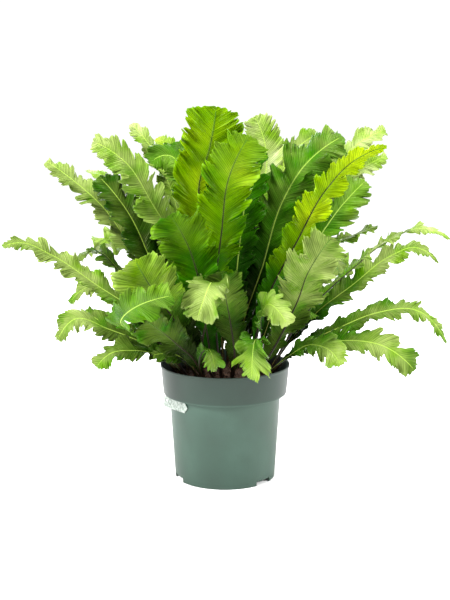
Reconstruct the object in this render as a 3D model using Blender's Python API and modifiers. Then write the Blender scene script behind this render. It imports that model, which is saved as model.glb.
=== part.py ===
"""Potted bird's-nest fern with lobed and waved fronds, in a plain nursery pot.

The plant stands upright on Z, its pot's foot rests on z = 0, and the picture's viewer looks along +Y.
"""
import math

import bmesh
import bpy
import numpy as np
from mathutils import Matrix, Vector
from mathutils.bvhtree import BVHTree

MM = 0.001
CM = 0.01
GOLDEN = 0.618034  # steps of this, less whole turns, spread values evenly without repeating

# Pot, in millimetres
SIDES = 36
FOOT_RADIUS = 81.3
BODY_TOP_RADIUS = 90.5
BAND_BOTTOM_RADIUS = 100.3
RIM_RADIUS = 105.2
BAND_BOTTOM = 141.0
RIM_HEIGHT = 188.0
BEAD_HEIGHT = 2.8
BEAD_PROUD = 0.7
WALL = 1.5
FLOOR_BOTTOM = 8.5
FLOOR_TOP = 10.5
HUB_RADIUS = 20.0
NOTCH_HEIGHT = 7.5
NOTCH_WIDTH = 33.0
NOTCH_DEPTH = 14.0
NOTCH_TURNS = (50.0, 172.0, -68.0)  # degrees round from the front
DRAIN_HOLES = 8
DRAIN_RADIUS = 6.0
DRAIN_SIDES = 10
DRAIN_CUTTER = 6.0
DRAIN_CIRCLE = 55.0
EDGE_CUT = 0.6

# Soil and rootstock, in millimetres
SEAT_GAP = 0.3
SOIL_TOP = 163.0
SOIL_HUMP = 2.5
ROOTSTOCK_BASE = 150.3
ROOTSTOCK_TOP = 177.0
ROOTSTOCK_RADIUS = 75.5
ROOTSTOCK_FALL = 14.5
ROOTSTOCK_LUMP = 1.1
ROOTSTOCK_SIDES = 24
SOCKET_DEPTH = 8.5
SOCKET_GAP = 0.35

# Plant tag, in millimetres
TAG_LENGTH = 62.0
TAG_WIDTH = 18.5
TAG_POINT = 8.0
TAG_POINT_RAISE = 0.6
TAG_THICKNESS = 0.8
TAG_TURN = -50.0
TAG_TOP = 139.6
TAG_RIGHT_REACH = 15.9
TAG_HOLE_RADIUS = 1.9
TAG_HOLE_INSET = 9.0
TAG_HOLE_RAISE = 3.0
TAG_HOLE_SIDES = 12

# Fronds, in centimetres
ROOT_SHARE = 0.6  # how far out a frond's root lies, as a share of its rib's first point
ROOT_REACH = 6.6
ROOT_SPACING = 1.5
ROOT_ROUNDS = 200
ROOT_EASE = 0.8  # share of each push that a round makes
STEM_HALF = 0.25
STEM_EDGE = 0.16
BLADE_EDGE = 0.09
EDGE_THINNING = 8.0  # the stem's thick edges thin out within an eighth of the rib
KEEL_FOOT = 0.24
KEEL_TIP = 0.07
RIB_TOP_FOOT = 0.15
RIB_TOP_TIP = 0.05
STEM_STRAIGHT = 2.6
BARE_SHARE = 0.12
START_MARGIN = 1.15  # no blade starts lower than this many times the stem's straight stretch
FEWEST_ROWS = 10
ROW_SPACING = 4.5
TURN_END = 0.4
SQUARE_SHARE = 0.6  # share of the rib where a frond shows its side most squarely
TIP_ROUNDING = 0.22  # how fast the tip's round end falls back from the rib
VEIN_POWER = 0.95
VEIN_STRETCH = 1.12
VEIN_DROOP = 0.5  # radians that a vein sinks from rib to margin
LEAN_FOOT, LEAN_TIP = 60.0, 50.0  # degrees between a vein and the rib
CUP_FOOT, CUP_TIP = 34.0, 8.0  # degrees that the blade's sides rise from the rib
LOBE_LEAST, LOBE_SPREAD = 0.45, 0.6
LOBE_STEP = 0.37
FADE_FOOT, FADE_TIP, FADE_END = 5.0, 8.0, 1.02  # the lobes lessen toward the stem and the tip
WAVE_SWING = 1.7  # radians that a vein's end swings for a frill of 1
WAVE_FULL = 2.0
WAVE_STEP, WAVE_SIDE = 2.4, 1.3
CLEARANCE = 0.05
SIGHT_SLOPE = 0.18  # how far the picture's line of sight falls for each centimetre that it goes back
RIB_SAMPLES = 72
VEIN_STEPS = 8
WAVE_LENGTH = 5.2

# One row for each frond that the front view shows: the points that its rib passes after it leaves the
# rootstock (x, y, z), half the blade's width, how blunt its tip is, how deep its lobes are cut, how much
# its margin waves, which side it shows the front (1 is squarely the top, -1 squarely the underside and
# 0 is as it grows), how far its tip turns further about the rib, in degrees, and the share of the rib
# that is bare stalk.
FRONT_FRONDS = (
    (((-5, -8, 23), (-8.5, -14, 30), (-11.5, -18, 35.5), (-13, -19, 38.5)),
     5.6, 0.26, 0.16, 0.25, -0.85, 0, BARE_SHARE),
    (((-1.5, -7, 32), (-0.5, -9.5, 41.5), (0.5, -12, 49.5), (3.5, -15, 56)),
     5.0, 0.35, 0.42, 0.3, -0.75, 0, BARE_SHARE),
    (((-3, -3, 29.5), (-3.5, -4.5, 41), (-4, -5.5, 48), (-2.3, -7, 54), (-1.3, -8, 60)),
     5.6, 0.26, 0.16, 0.3, -0.95, 0, BARE_SHARE),
    (((-3, -7, 26.5), (-4, -9.5, 34), (-5.5, -12, 39.5), (-8, -15, 44.5)),
     5.2, 0.26, 0.18, 0.3, -0.85, 0, BARE_SHARE),
    (((3, 1, 25), (6, 2, 34), (9.5, 4, 45), (13, 5, 50.5), (19, 6, 55)),
     5.4, 0.5, 0.3, 0.35, 0.75, -20, BARE_SHARE),
    (((6.5, -5, 30), (11, -9, 40), (15, -12, 48), (18.5, -13, 52), (23.5, -14, 54.5)),
     3.3, 0.8, 0.25, 0.35, -0.7, 0, BARE_SHARE),
    (((8, -7, 23.5), (11, -11, 31), (12.5, -15, 36.5), (15.5, -17, 41.5)),
     4.8, 0.45, 0.34, 0.35, -0.8, 0, BARE_SHARE),
    (((-10, -8, 23.5), (-15.5, -15, 28.5), (-12.5, -20, 32), (-7.5, -23, 34)),
     3.4, 0.5, 0.3, 0.3, 0.8, 0, 0.3),
    (((-3.5, -9, 23), (-2.5, -13, 29.5), (-2, -18, 35), (-4, -23, 30.5)),
     3.8, 0.4, 0.35, 0.35, 0, 0, 0.45),
    (((5, -7.5, 20.5), (4.7, -11, 25), (4.3, -14, 24.7), (4, -15, 19.8)),
     3.6, 0.4, 0.4, 0.4, 0, 0, 0.35),
    (((5.5, -10.5, 24.5), (5.5, -15.5, 29.5), (6.5, -19, 32), (9.3, -22.5, 29.5)),
     2.7, 0.6, 0.3, 0.35, 0.4, 0, 0.45),
    (((13, -2, 27.5), (19.5, -4, 34.5), (25.5, -5, 39.5), (30, -6, 41.5), (34.5, -7, 40)),
     2.5, 0.8, 0.35, 0.35, -0.4, 60, 0.2),
    (((15, 3, 26.5), (21, 4, 31), (27, 5, 35.5), (31, 5, 37), (35, 5, 34.5)),
     2.7, 0.9, 0.35, 0.35, 0.5, 0, BARE_SHARE),
    (((12, -1, 21.5), (18.5, -1.5, 25), (24.5, -2, 27.5), (30, -2, 28), (35.5, -2, 22.5)),
     2.5, 0.7, 0.35, 0.35, 0.4, 0, BARE_SHARE),
    (((12, -3, 21.5), (18, -5, 23.5), (25, -7, 23), (29.5, -8, 19.5)),
     3.1, 0.4, 0.3, 0.35, 0.5, 0, BARE_SHARE),
    (((-12, -1, 25.5), (-20.5, -2, 32), (-27.5, -3, 37), (-32, -4, 39), (-34.5, -5, 38.5)),
     2.7, 0.7, 0.3, 0.35, 0.45, 0, BARE_SHARE),
    (((-6, -3, 28), (-8, -5, 39.5), (-11, -6, 45), (-15, -7, 51.5), (-19.5, -8, 54.5)),
     3.6, 0.5, 0.42, 0.3, 0.7, 0, BARE_SHARE),
    (((-12, -5, 22.5), (-18, -8, 26), (-23, -10, 28), (-25.5, -11, 25)),
     2.9, 0.6, 0.3, 0.35, 0.4, 0, BARE_SHARE),
    (((-8.5, 6, 26.5), (-16, 9, 37), (-20.5, 11, 43), (-25, 12, 47), (-30, 13, 50.5)),
     2.9, 0.5, 0.3, 0.35, 0.5, 0, BARE_SHARE),
    (((-7.5, 2, 24.5), (-12, 3, 35), (-15.5, 4, 42.5), (-20.5, 6, 48.5)),
     3.8, 0.5, 0.2, 0.25, 0.6, 0, BARE_SHARE),
    (((1.5, 2, 29), (2.5, 4, 38.5), (3.5, 6, 46.5), (4, 8, 52.5)),
     4.4, 0.45, 0.35, 0.35, 0.6, 0, BARE_SHARE),
    (((3.5, 7, 36.5), (6, 10, 45), (7, 12, 51.5), (5, 13, 58)),
     4.2, 0.45, 0.25, 0.3, 0.6, 0, BARE_SHARE),
    (((-3.5, 2, 30.5), (-5, 4, 42.5), (-6.5, 5, 49.5), (-9, 5, 52), (-12, 4, 51)),
     4.0, 0.5, 0.3, 0.35, 0.6, 0, BARE_SHARE),
    (((8, 1, 27.5), (14.5, 2, 38), (19, 2, 44.5), (22.5, 3, 48)),
     4.0, 0.45, 0.4, 0.35, 0.7, 0, BARE_SHARE),
    (((1.5, -8, 21.5), (1, -11, 26.5), (0, -15, 33), (-0.5, -17, 36.5)),
     3.8, 0.4, 0.2, 0.25, -0.5, 0, BARE_SHARE),
    (((-4, -9, 20.5), (-3.5, -11, 23), (-2.5, -13, 24), (-1.5, -14.5, 21)),
     2.2, 0.5, 0.3, 0.3, 0, 0, 0.45),
    (((-6.5, -7, 21), (-8.5, -9.5, 22.5), (-11, -10.5, 22.5)),
     2.0, 0.5, 0.3, 0.3, 0.4, 0, 0.3),
    (((10, -7, 21.5), (13.5, -10, 24), (16, -12, 23.5), (17.5, -13, 21.5)),
     3.0, 0.4, 0.4, 0.35, 0.4, 0, 0.3),
    (((-10.5, -2, 21), (-15, -2, 23.5), (-19.5, -1, 25.5), (-22.5, 0, 27.5)),
     2.8, 0.6, 0.3, 0.3, 0.5, 0, BARE_SHARE),
    (((-10, -7, 22.5), (-14, -10, 25), (-17.5, -11.5, 25.5), (-19.5, -12, 24)),
     2.6, 0.5, 0.4, 0.35, 0.3, 0, BARE_SHARE),
    (((10.5, 4, 35), (17, 6, 44.5), (22, 7, 49.5), (26.5, 7, 52)),
     3.1, 0.5, 0.35, 0.4, 0.5, 0, BARE_SHARE),
    (((10, 8, 36), (16.5, 11, 46.5), (21.5, 12, 53), (27, 13, 56)),
     3.2, 0.45, 0.25, 0.35, 0.5, 0, BARE_SHARE),
    (((5.5, 10, 37.5), (9, 13, 47.5), (12.5, 14, 53), (15.5, 14, 55)),
     3.6, 0.45, 0.35, 0.35, 0.5, 0, BARE_SHARE),
    (((7, 9, 30), (12.5, 13, 39.5), (17.5, 16, 46.5)),
     3.4, 0.5, 0.3, 0.35, 0.5, 0, BARE_SHARE),
    (((11, 6, 30), (16, 8, 36), (20.5, 9, 38), (25.5, 10, 40)),
     2.6, 0.6, 0.3, 0.35, 0, 0, 0.3),
    (((-3.5, 10, 34), (-7, 13, 45), (-9, 15, 50.5), (-11, 16, 54.5)),
     3.6, 0.5, 0.3, 0.35, 0.4, 0, BARE_SHARE),
    (((-6.5, 8, 36), (-9, 10, 46), (-12, 11, 52.5), (-15.5, 12, 56.5)),
     2.8, 0.5, 0.3, 0.35, 0.4, 0, BARE_SHARE),
    (((-12, 8, 26), (-17.5, 10, 32), (-21.5, 11, 35.5), (-25.5, 12, 34)),
     2.8, 0.6, 0.3, 0.35, 0, 0, 0.3),
    (((-12.5, 4, 23.5), (-18, 5, 28.5), (-22, 5, 30.5), (-25.5, 4, 28)),
     2.7, 0.6, 0.45, 0.35, 0.3, 0, BARE_SHARE),
    (((1.5, -7.5, 21.5), (2, -9, 23.5), (2.5, -10, 26)),
     2.2, 0.5, 0.25, 0.3, 0, 0, 0.35),
    (((-5, -9, 21.5), (-7.5, -13, 25), (-10.5, -16.5, 28.5), (-13, -19, 31)),
     4.0, 0.3, 0.2, 0.3, -0.8, 0, 0.1),
)

# Fronds at the back and sides follow a rule: their headings are spread evenly, high and low by turns.
BACK_FRONDS = 10
BACK_FIRST = 50.0
BACK_LAST = 142.0
BACK_LEAST, BACK_SPREAD = 0.92, 0.16  # how far a back frond stretches, as a share of its rib
BACK_TWIST = 12.0
LOW_WIDTH, HIGH_WIDTH, YOUNG_WIDTH = 4.2, 4.0, 3.2
BACK_SHAPE = (0.45, 0.3, 0.35, 0)  # how blunt, how deep the lobes, how waved and which side shows
LOW_RIB = ((9.0, 24.5), (18.0, 33.0), (26.0, 36.5), (32.0, 33.0))
HIGH_RIB = ((6.5, 30.0), (12.0, 41.0), (18.0, 48.0), (23.5, 50.5))
# Young fronds stand among them, each at a heading in degrees from +X with a low or a high rib.
YOUNG_LOW_RIB = ((7.5, 21.0), (10.0, 24.0), (13.0, 25.5), (16.0, 24.0))
YOUNG_HIGH_RIB = ((6.5, 23.0), (9.0, 28.0), (12.0, 32.0), (15.0, 34.0))
YOUNG_FRONDS = ((20.0, YOUNG_LOW_RIB), (98.0, YOUNG_LOW_RIB), (134.0, YOUNG_LOW_RIB),
                (56.0, YOUNG_HIGH_RIB), (168.0, YOUNG_HIGH_RIB))

# A frond that would touch another bends by the least of these, in centimetres or shares of its width.
BEND_STEPS = (0, 1.5, -1.5, 3, -3, 4.5, -4.5, 6, -6, 8, -8, 10, -10, 12, -12)
ACROSS_STEPS, UP_STEPS = 11, 5  # how many of these serve across and up
BEND_WIDTHS = (1.0, 0.85, 0.7, 0.55)
BEND_POWER = 1.2
ACROSS_COST = 2.0
UP_COST = 2.0
WIDTH_COST = 22.0

# Ring round the pot's rim that fronds pass clear of, in centimetres
GUARD_INNER, GUARD_OUTER = 9.95, 10.85
GUARD_LOW, GUARD_TOP = 15.5, 19.2
GUARD_SIDES = 24


def material(name, colour, roughness):
    """A plain finish with one sRGB colour."""
    made = bpy.data.materials.new(name)
    made.use_nodes = True
    shader = made.node_tree.nodes["Principled BSDF"]
    parts = [int(colour[i:i + 2], 16) / 255 for i in (0, 2, 4)]
    linear = [c / 12.92 if c <= 0.04045 else ((c + 0.055) / 1.055) ** 2.4 for c in parts]
    shader.inputs["Base Color"].default_value = (*linear, 1.0)
    shader.inputs["Roughness"].default_value = roughness
    made.diffuse_color = (*linear, 1.0)
    return made


def add_mesh(name, points, faces, collection, finish=None):
    """A mesh object from points and faces."""
    mesh = bpy.data.meshes.new(name)
    mesh.from_pydata([tuple(p) for p in points], [], faces)
    mesh.validate()
    made = bpy.data.objects.new(name, mesh)
    collection.objects.link(made)
    if finish:
        mesh.materials.append(finish)
    return made


def turned(name, profile, sides, collection, finish):
    """A profile in millimetres, running down its outer side, turned about Z."""
    points = [(r * MM, 0.0, z * MM) for r, z in profile]
    edges = [(i, i + 1) for i in range(len(points) - 1)]
    mesh = bpy.data.meshes.new(name)
    mesh.from_pydata(points, edges, [])
    made = bpy.data.objects.new(name, mesh)
    collection.objects.link(made)
    screw = made.modifiers.new("Turn", "SCREW")
    screw.axis = "Z"
    screw.steps = screw.render_steps = sides
    screw.use_merge_vertices = True
    screw.merge_threshold = 0.0001
    screw.use_smooth_shade = True
    mesh.materials.append(finish)
    return made


def fixed_mesh(made):
    """Replaces an object's mesh by the one that its modifiers give."""
    view = bpy.context.evaluated_depsgraph_get()
    mesh = bpy.data.meshes.new_from_object(made.evaluated_get(view))
    made.modifiers.clear()
    made.data = mesh
    return mesh


def cut(made, cutter):
    """Takes a cutter away from a piece."""
    cutter.hide_render = True
    cutter.display_type = "WIRE"
    taken = made.modifiers.new(cutter.name, "BOOLEAN")
    taken.operation = "DIFFERENCE"
    taken.object = cutter
    return taken


def front_turn(degrees):
    """The heading, as an angle from +X, of a place round from the front of the pot."""
    return math.radians(degrees - 90.0)


def body_radius(z):
    """The outer radius of the pot's tapered body, in millimetres."""
    return FOOT_RADIUS + (BODY_TOP_RADIUS - FOOT_RADIUS) * z / BAND_BOTTOM


def band_radius(z):
    """The outer radius of the pot's band, in millimetres."""
    share = (z - BAND_BOTTOM) / (RIM_HEIGHT - BAND_BOTTOM)
    return BAND_BOTTOM_RADIUS + (RIM_RADIUS - BEAD_PROUD - BAND_BOTTOM_RADIUS) * share


def make_pot(collection, cutters):
    """Injection-moulded pot: floor on a skirt with a middle hub, tapered body, wide band, beaded rim."""
    bead_foot = RIM_HEIGHT - BEAD_HEIGHT
    shelf = BAND_BOTTOM + WALL
    profile = [
        (0.0, FLOOR_TOP),
        (body_radius(FLOOR_TOP) - WALL, FLOOR_TOP),
        (body_radius(shelf) - WALL, shelf),
        (band_radius(shelf) - WALL, shelf),
        (band_radius(RIM_HEIGHT) - WALL, RIM_HEIGHT - EDGE_CUT),
        (band_radius(RIM_HEIGHT) - WALL + EDGE_CUT, RIM_HEIGHT),
        (RIM_RADIUS - EDGE_CUT, RIM_HEIGHT),
        (RIM_RADIUS, RIM_HEIGHT - EDGE_CUT),
        (RIM_RADIUS, bead_foot + EDGE_CUT),
        (band_radius(bead_foot), bead_foot),
        (band_radius(BAND_BOTTOM) + 0.1, BAND_BOTTOM + EDGE_CUT),
        (band_radius(BAND_BOTTOM) - EDGE_CUT, BAND_BOTTOM),
        (BODY_TOP_RADIUS, BAND_BOTTOM),
        (FOOT_RADIUS + 0.05, EDGE_CUT),
        (FOOT_RADIUS - EDGE_CUT, 0.0),
        (FOOT_RADIUS - WALL - EDGE_CUT, 0.0),
        (body_radius(FLOOR_BOTTOM) - WALL - EDGE_CUT, FLOOR_BOTTOM),
        (HUB_RADIUS, FLOOR_BOTTOM),
        (HUB_RADIUS, 0.0),
        (0.0, 0.0),
    ]
    finish = material("pot_plastic", "6f857a", 0.5)
    pot = turned("pot", profile, SIDES, collection, finish)
    for i, turn in enumerate(NOTCH_TURNS):
        bpy.ops.mesh.primitive_cube_add(size=1.0)
        notch = bpy.context.object
        notch.name = f"notch_{i + 1}"
        heading = front_turn(turn)
        size = Vector((NOTCH_DEPTH, NOTCH_WIDTH, 2 * NOTCH_HEIGHT)) * MM
        notch.data.transform(Matrix.Diagonal((*size, 1.0)))
        notch.location = (FOOT_RADIUS * math.cos(heading) * MM, FOOT_RADIUS * math.sin(heading) * MM, 0.0)
        notch.rotation_euler = (0.0, 0.0, heading)
        for home in list(notch.users_collection):
            home.objects.unlink(notch)
        cutters.objects.link(notch)
        cut(pot, notch)
    for i in range(DRAIN_HOLES):
        heading = math.tau * (i + 0.5) / DRAIN_HOLES
        tool = bmesh.new()
        bmesh.ops.create_cone(tool, cap_ends=True, segments=DRAIN_SIDES, radius1=DRAIN_RADIUS * MM,
                              radius2=DRAIN_RADIUS * MM, depth=DRAIN_CUTTER * MM)
        mesh = bpy.data.meshes.new("drain")
        tool.to_mesh(mesh)
        tool.free()
        drain = bpy.data.objects.new(f"drain_{i + 1}", mesh)
        drain.location = (DRAIN_CIRCLE * math.cos(heading) * MM, DRAIN_CIRCLE * math.sin(heading) * MM,
                          (FLOOR_BOTTOM + FLOOR_TOP) / 2 * MM)
        cutters.objects.link(drain)
        cut(pot, drain)
    return pot


def make_soil(collection):
    """Peat filling the pot to below its rim, with a round recess that the rootstock stands in."""
    shelf = BAND_BOTTOM + WALL + SEAT_GAP
    floor = FLOOR_TOP + SEAT_GAP
    recess = ROOTSTOCK_RADIUS + SEAT_GAP
    profile = [
        (0.0, ROOTSTOCK_BASE - SEAT_GAP),
        (recess, ROOTSTOCK_BASE - SEAT_GAP),
        (recess, SOIL_TOP + 0.6 * SOIL_HUMP),
        (recess + 8.0, SOIL_TOP + SOIL_HUMP),
        (recess + 17.0, SOIL_TOP + 0.2 * SOIL_HUMP),
        (band_radius(SOIL_TOP) - WALL - SEAT_GAP, SOIL_TOP),
        (band_radius(shelf) - WALL - SEAT_GAP, shelf),
        (body_radius(shelf) - WALL - SEAT_GAP, shelf),
        (body_radius(floor) - WALL - SEAT_GAP, floor),
        (0.0, floor),
    ]
    return turned("soil", profile, SIDES, collection, material("peat", "2b2019", 0.95))


def rootstock_height(radius):
    """The height of the rootstock's domed top at a radius, both in millimetres."""
    return ROOTSTOCK_TOP - ROOTSTOCK_FALL * (radius / ROOTSTOCK_RADIUS) ** 2.2


def make_rootstock(collection, sockets):
    """Dark lumpy crown that every stem grows from, a plain hole cut in it for each stem."""
    radii = (0.0, 14.0, 28.0, 41.0, 53.0, 64.0, 72.0)
    profile = [(r, rootstock_height(r)) for r in radii]
    profile.append((ROOTSTOCK_RADIUS, SOIL_TOP - 2.0))
    profile.append((ROOTSTOCK_RADIUS, ROOTSTOCK_BASE))
    profile.append((0.0, ROOTSTOCK_BASE))
    finish = material("rootstock_scale", "32231a", 0.9)
    crown = turned("rootstock", profile, ROOTSTOCK_SIDES, collection, finish)
    mesh = fixed_mesh(crown)
    for vertex in mesh.vertices:
        x, y, z = (c / MM for c in vertex.co)
        if z > SOIL_TOP - 1.0:
            lump = math.sin(0.19 * x + 1.1) * math.sin(0.21 * y + 0.4) + 0.6 * math.sin(0.37 * x - 0.31 * y)
            vertex.co.z += ROOTSTOCK_LUMP * lump * MM
    cut(crown, sockets).use_self = True
    return crown


def make_tag(collection):
    """White plastic plant tag, flat, pointed at one end, lying against the pot just beneath its band."""
    half = TAG_WIDTH / 2
    right = TAG_RIGHT_REACH
    left = right - TAG_LENGTH
    neck = right - TAG_POINT
    outline = [(left, -half), (neck, -half), (right, TAG_POINT_RAISE), (neck, half), (left, half)]
    turns = [math.tau * i / TAG_HOLE_SIDES for i in range(TAG_HOLE_SIDES)]
    hole = [(left + TAG_HOLE_INSET + TAG_HOLE_RADIUS * math.cos(turn),
             TAG_HOLE_RAISE + TAG_HOLE_RADIUS * math.sin(turn)) for turn in turns]
    curve = bpy.data.curves.new("tag", "CURVE")
    curve.dimensions = "2D"
    curve.fill_mode = "BOTH"
    curve.extrude = TAG_THICKNESS / 2 * MM
    for ring in (outline, hole):
        spline = curve.splines.new("POLY")
        spline.points.add(len(ring) - 1)
        for point, (x, y) in zip(spline.points, ring):
            point.co = (x * MM, y * MM, 0.0, 1.0)
        spline.use_cyclic_u = True
    tag = bpy.data.objects.new("tag", curve)
    collection.objects.link(tag)
    curve.materials.append(material("tag_plastic", "f2f3f0", 0.35))
    heading = front_turn(TAG_TURN)
    outward = Vector((math.cos(heading), math.sin(heading), 0.0))
    along = Vector((-math.sin(heading), math.cos(heading), 0.0))
    slope = math.atan((BODY_TOP_RADIUS - FOOT_RADIUS) / BAND_BOTTOM)
    up = Vector((0.0, 0.0, 1.0)) * math.cos(slope) + outward * math.sin(slope)
    face = along.cross(up)
    middle = TAG_TOP - half * math.cos(slope)
    stand = body_radius(middle) + (SEAT_GAP + TAG_THICKNESS / 2) / math.cos(slope)
    turn = Matrix((along, up, face)).transposed().to_4x4()
    tag.matrix_world = Matrix.Translation(outward * stand * MM + Vector((0, 0, middle * MM))) @ turn
    return tag


def unit(vectors):
    """Vectors made one long."""
    return vectors / np.maximum(np.linalg.norm(vectors, axis=-1, keepdims=True), 1e-9)


def smooth_line(points):
    """Even samples of a smooth curve through points, and the length of the line that joins them."""
    knots = np.concatenate([[0.0], np.cumsum(np.linalg.norm(np.diff(points, axis=0), axis=1))])
    slopes = np.gradient(points, knots, axis=0, edge_order=2)
    at = np.linspace(0.0, knots[-1], RIB_SAMPLES)
    low = np.clip(np.searchsorted(knots, at, side="right") - 1, 0, len(knots) - 2)
    span = (knots[low + 1] - knots[low])[:, None]
    x = (at - knots[low])[:, None] / span
    rise = 3 * x ** 2 - 2 * x ** 3
    line = points[low] * (1 - rise) + points[low + 1] * rise
    line += span * (slopes[low] * (x - 2 * x ** 2 + x ** 3) + slopes[low + 1] * (x ** 3 - x ** 2))
    return line, knots[-1]


class Frond:
    """A frond's rib and blade, in centimetres, as a function of place along and across."""

    def __init__(self, rib, half_width, blunt, lobe_cut, frill, show, tip_turn, bare, number):
        self.half_width = half_width
        self.blunt = blunt
        self.lobe_cut = lobe_cut
        self.frill = frill
        self.number = number
        self.spine, self.length = smooth_line(rib)
        self.start = max(bare, START_MARGIN * STEM_STRAIGHT / self.length)
        self.rows = FEWEST_ROWS + int(round(self.length * (1 - self.start) / ROW_SPACING))
        self.tangent = unit(np.gradient(self.spine, axis=0))
        heading = unit((rib[-1] - rib[0]) * (1, 1, 0))
        first = self.tangent[0]
        top = unit(np.array([0, 0, 1.0]) * (first @ heading) - heading * first[2])
        tops = []
        for tangent in self.tangent:
            top = unit(top - tangent * (top @ tangent))
            tops.append(top)
        tops = np.array(tops)
        sides = np.cross(self.tangent, tops)
        middle = int(SQUARE_SHARE * RIB_SAMPLES)
        front = np.array([0.0, -1.0, 0.0]) * (1 if show > 0 else -1)
        squarely = math.atan2(front @ sides[middle], front @ tops[middle])
        u = np.linspace(0.0, 1.0, RIB_SAMPLES)
        ease = np.clip(u / TURN_END, 0.0, 1.0)
        ease = ease * ease * (3 - 2 * ease)
        turn = (squarely * abs(show) * ease + math.radians(tip_turn) * u ** 2)[:, None]
        self.top = tops * np.cos(turn) + sides * np.sin(turn)

    def along(self, u):
        """Place, tangent, top side and right-hand side at u along the rib, straight on past the tip."""
        at = np.clip(u, 0.0, 1.0) * (RIB_SAMPLES - 1)
        low = np.clip(at.astype(int), 0, RIB_SAMPLES - 2)
        part = (at - low)[..., None]
        place = self.spine[low] * (1 - part) + self.spine[low + 1] * part
        tangent = unit(self.tangent[low] * (1 - part) + self.tangent[low + 1] * part)
        top = unit(self.top[low] * (1 - part) + self.top[low + 1] * part)
        place = place + tangent * (np.maximum(u - 1.0, 0.0) * self.length)[..., None]
        return place, tangent, top, np.cross(tangent, top)

    def lean(self, u):
        """Angle between a vein and the rib, in radians."""
        return np.radians(LEAN_FOOT + (LEAN_TIP - LEAN_FOOT) * u)

    def reach(self, u):
        """Length of a vein: a narrow wing by the stem, widest two thirds up, closing round the tip.

        Near the tip, no vein ends farther ahead than the tip less a rounding times the square of how
        far out it ends, over the blade's half width. The positive root of that gives its length.
        """
        part = np.clip((u - self.start) / (1 - self.start), 0.0, 1.0)
        peak = VEIN_POWER / (VEIN_POWER + self.blunt)
        most = peak ** VEIN_POWER * (1 - peak) ** self.blunt
        leaf = part ** VEIN_POWER * (1 - part) ** self.blunt / most
        length = (self.half_width * VEIN_STRETCH - STEM_HALF) * leaf
        lean = self.lean(u)
        square = TIP_ROUNDING * np.sin(lean) ** 2 / self.half_width
        left = np.clip(1 - u, 0.0, 1.0) * self.length
        most = (np.sqrt(np.cos(lean) ** 2 + 4 * square * left) - np.cos(lean)) / (2 * square)
        return STEM_HALF + np.minimum(length, most)

    def margin(self, u, side):
        """Share of a vein that the margin leaves: a cut between each two lobes, left and right by turns."""
        q = (u - self.start) / (1 - self.start) * (self.rows - 1)
        if side > 0:
            q = q + 1.0
        notch = 2.0 * np.round(q / 2.0)
        uneven = LOBE_LEAST + LOBE_SPREAD * ((notch * GOLDEN + self.number * LOBE_STEP) % 1.0)
        fade = np.clip((u - self.start) * FADE_FOOT, 0, 1) * np.clip((FADE_END - u) * FADE_TIP, 0, 1)
        return 1 - self.lobe_cut * uneven * fade * np.clip(0.5 + 0.5 * np.cos(np.pi * q), 0, 1) ** 3

    def surface(self, u, side):
        """Points from the rib to the margin along the veins at u, on one side of the rib."""
        share = (np.arange(VEIN_STEPS) + 0.5) / VEIN_STEPS
        lean = self.lean(u)
        cup = np.radians(CUP_FOOT + (CUP_TIP - CUP_FOOT) * u)
        reach = self.reach(u) * self.margin(u, side)
        phase = self.number * WAVE_STEP + side * WAVE_SIDE
        wave = np.sin(math.tau * u * self.length / WAVE_LENGTH + phase)
        swing = self.frill * WAVE_SWING * np.clip(self.reach(u) / WAVE_FULL, 0, 1)
        slope = cup[:, None] - VEIN_DROOP * share + (swing * wave)[:, None] * share
        step = (reach / VEIN_STEPS)[:, None]
        out = np.cumsum(np.cos(slope) * step, axis=1) * np.sin(lean)[:, None]
        rise = np.cumsum(np.sin(slope) * step, axis=1)
        on = (share + 0.5 / VEIN_STEPS) * (reach * np.cos(lean))[:, None]
        place, _, top, right = self.along(u[:, None] + on / self.length)
        edge = place + right * (side * out)[..., None] + top * rise[..., None]
        return np.concatenate([self.along(u)[0][:, None], edge], axis=1)

    def solid(self, stem_only=False, swell=0.0):
        """Closed mesh: at each row six points, on the rib's two sides and round both margins."""
        stem = np.array([0.0, STEM_STRAIGHT / self.length])
        blade = np.linspace(self.start, 1.0, self.rows)
        u = stem if stem_only else np.concatenate([stem, blade])
        centre, tangent, top, _ = self.along(u)
        bare = np.clip(1 - (u - self.start) * EDGE_THINNING, 0, 1)
        edge = (BLADE_EDGE + (STEM_EDGE - BLADE_EDGE) * bare)[:, None] / 2 + swell
        keel = (KEEL_FOOT + (KEEL_TIP - KEEL_FOOT) * u)[:, None] + swell
        crest = (RIB_TOP_FOOT + (RIB_TOP_TIP - RIB_TOP_FOOT) * u)[:, None] + swell
        ring = []
        for side in (-1, 1):
            rim = self.surface(u, side)[:, -1]
            out = unit(rim - centre)
            normal = unit(np.cross(out, tangent) * side)
            rim = rim + out * swell
            ring.append((rim + normal * edge, rim - normal * edge))
        (left_top, left_low), (right_top, right_low) = ring
        crest = centre + top * crest
        keel = centre - top * keel
        loop = np.stack([left_top, crest, right_top, right_low, keel, left_low], axis=1)
        count = len(u)
        faces = []
        for i in range(count - 1):
            for j in range(6):
                a, b = i * 6 + j, i * 6 + (j + 1) % 6
                c, d = b + 6, a + 6
                if j in (0, 3):
                    faces += [(a, b, d), (b, c, d)]
                else:
                    faces += [(a, b, c), (a, c, d)]
        last = (count - 1) * 6
        for j in range(2, 6):
            nearer, farther = j, (j + 1) % 6
            faces.append((1, farther, nearer))
            faces.append((last + 1, last + nearer, last + farther))
        return loop.reshape(-1, 3), faces


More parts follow.
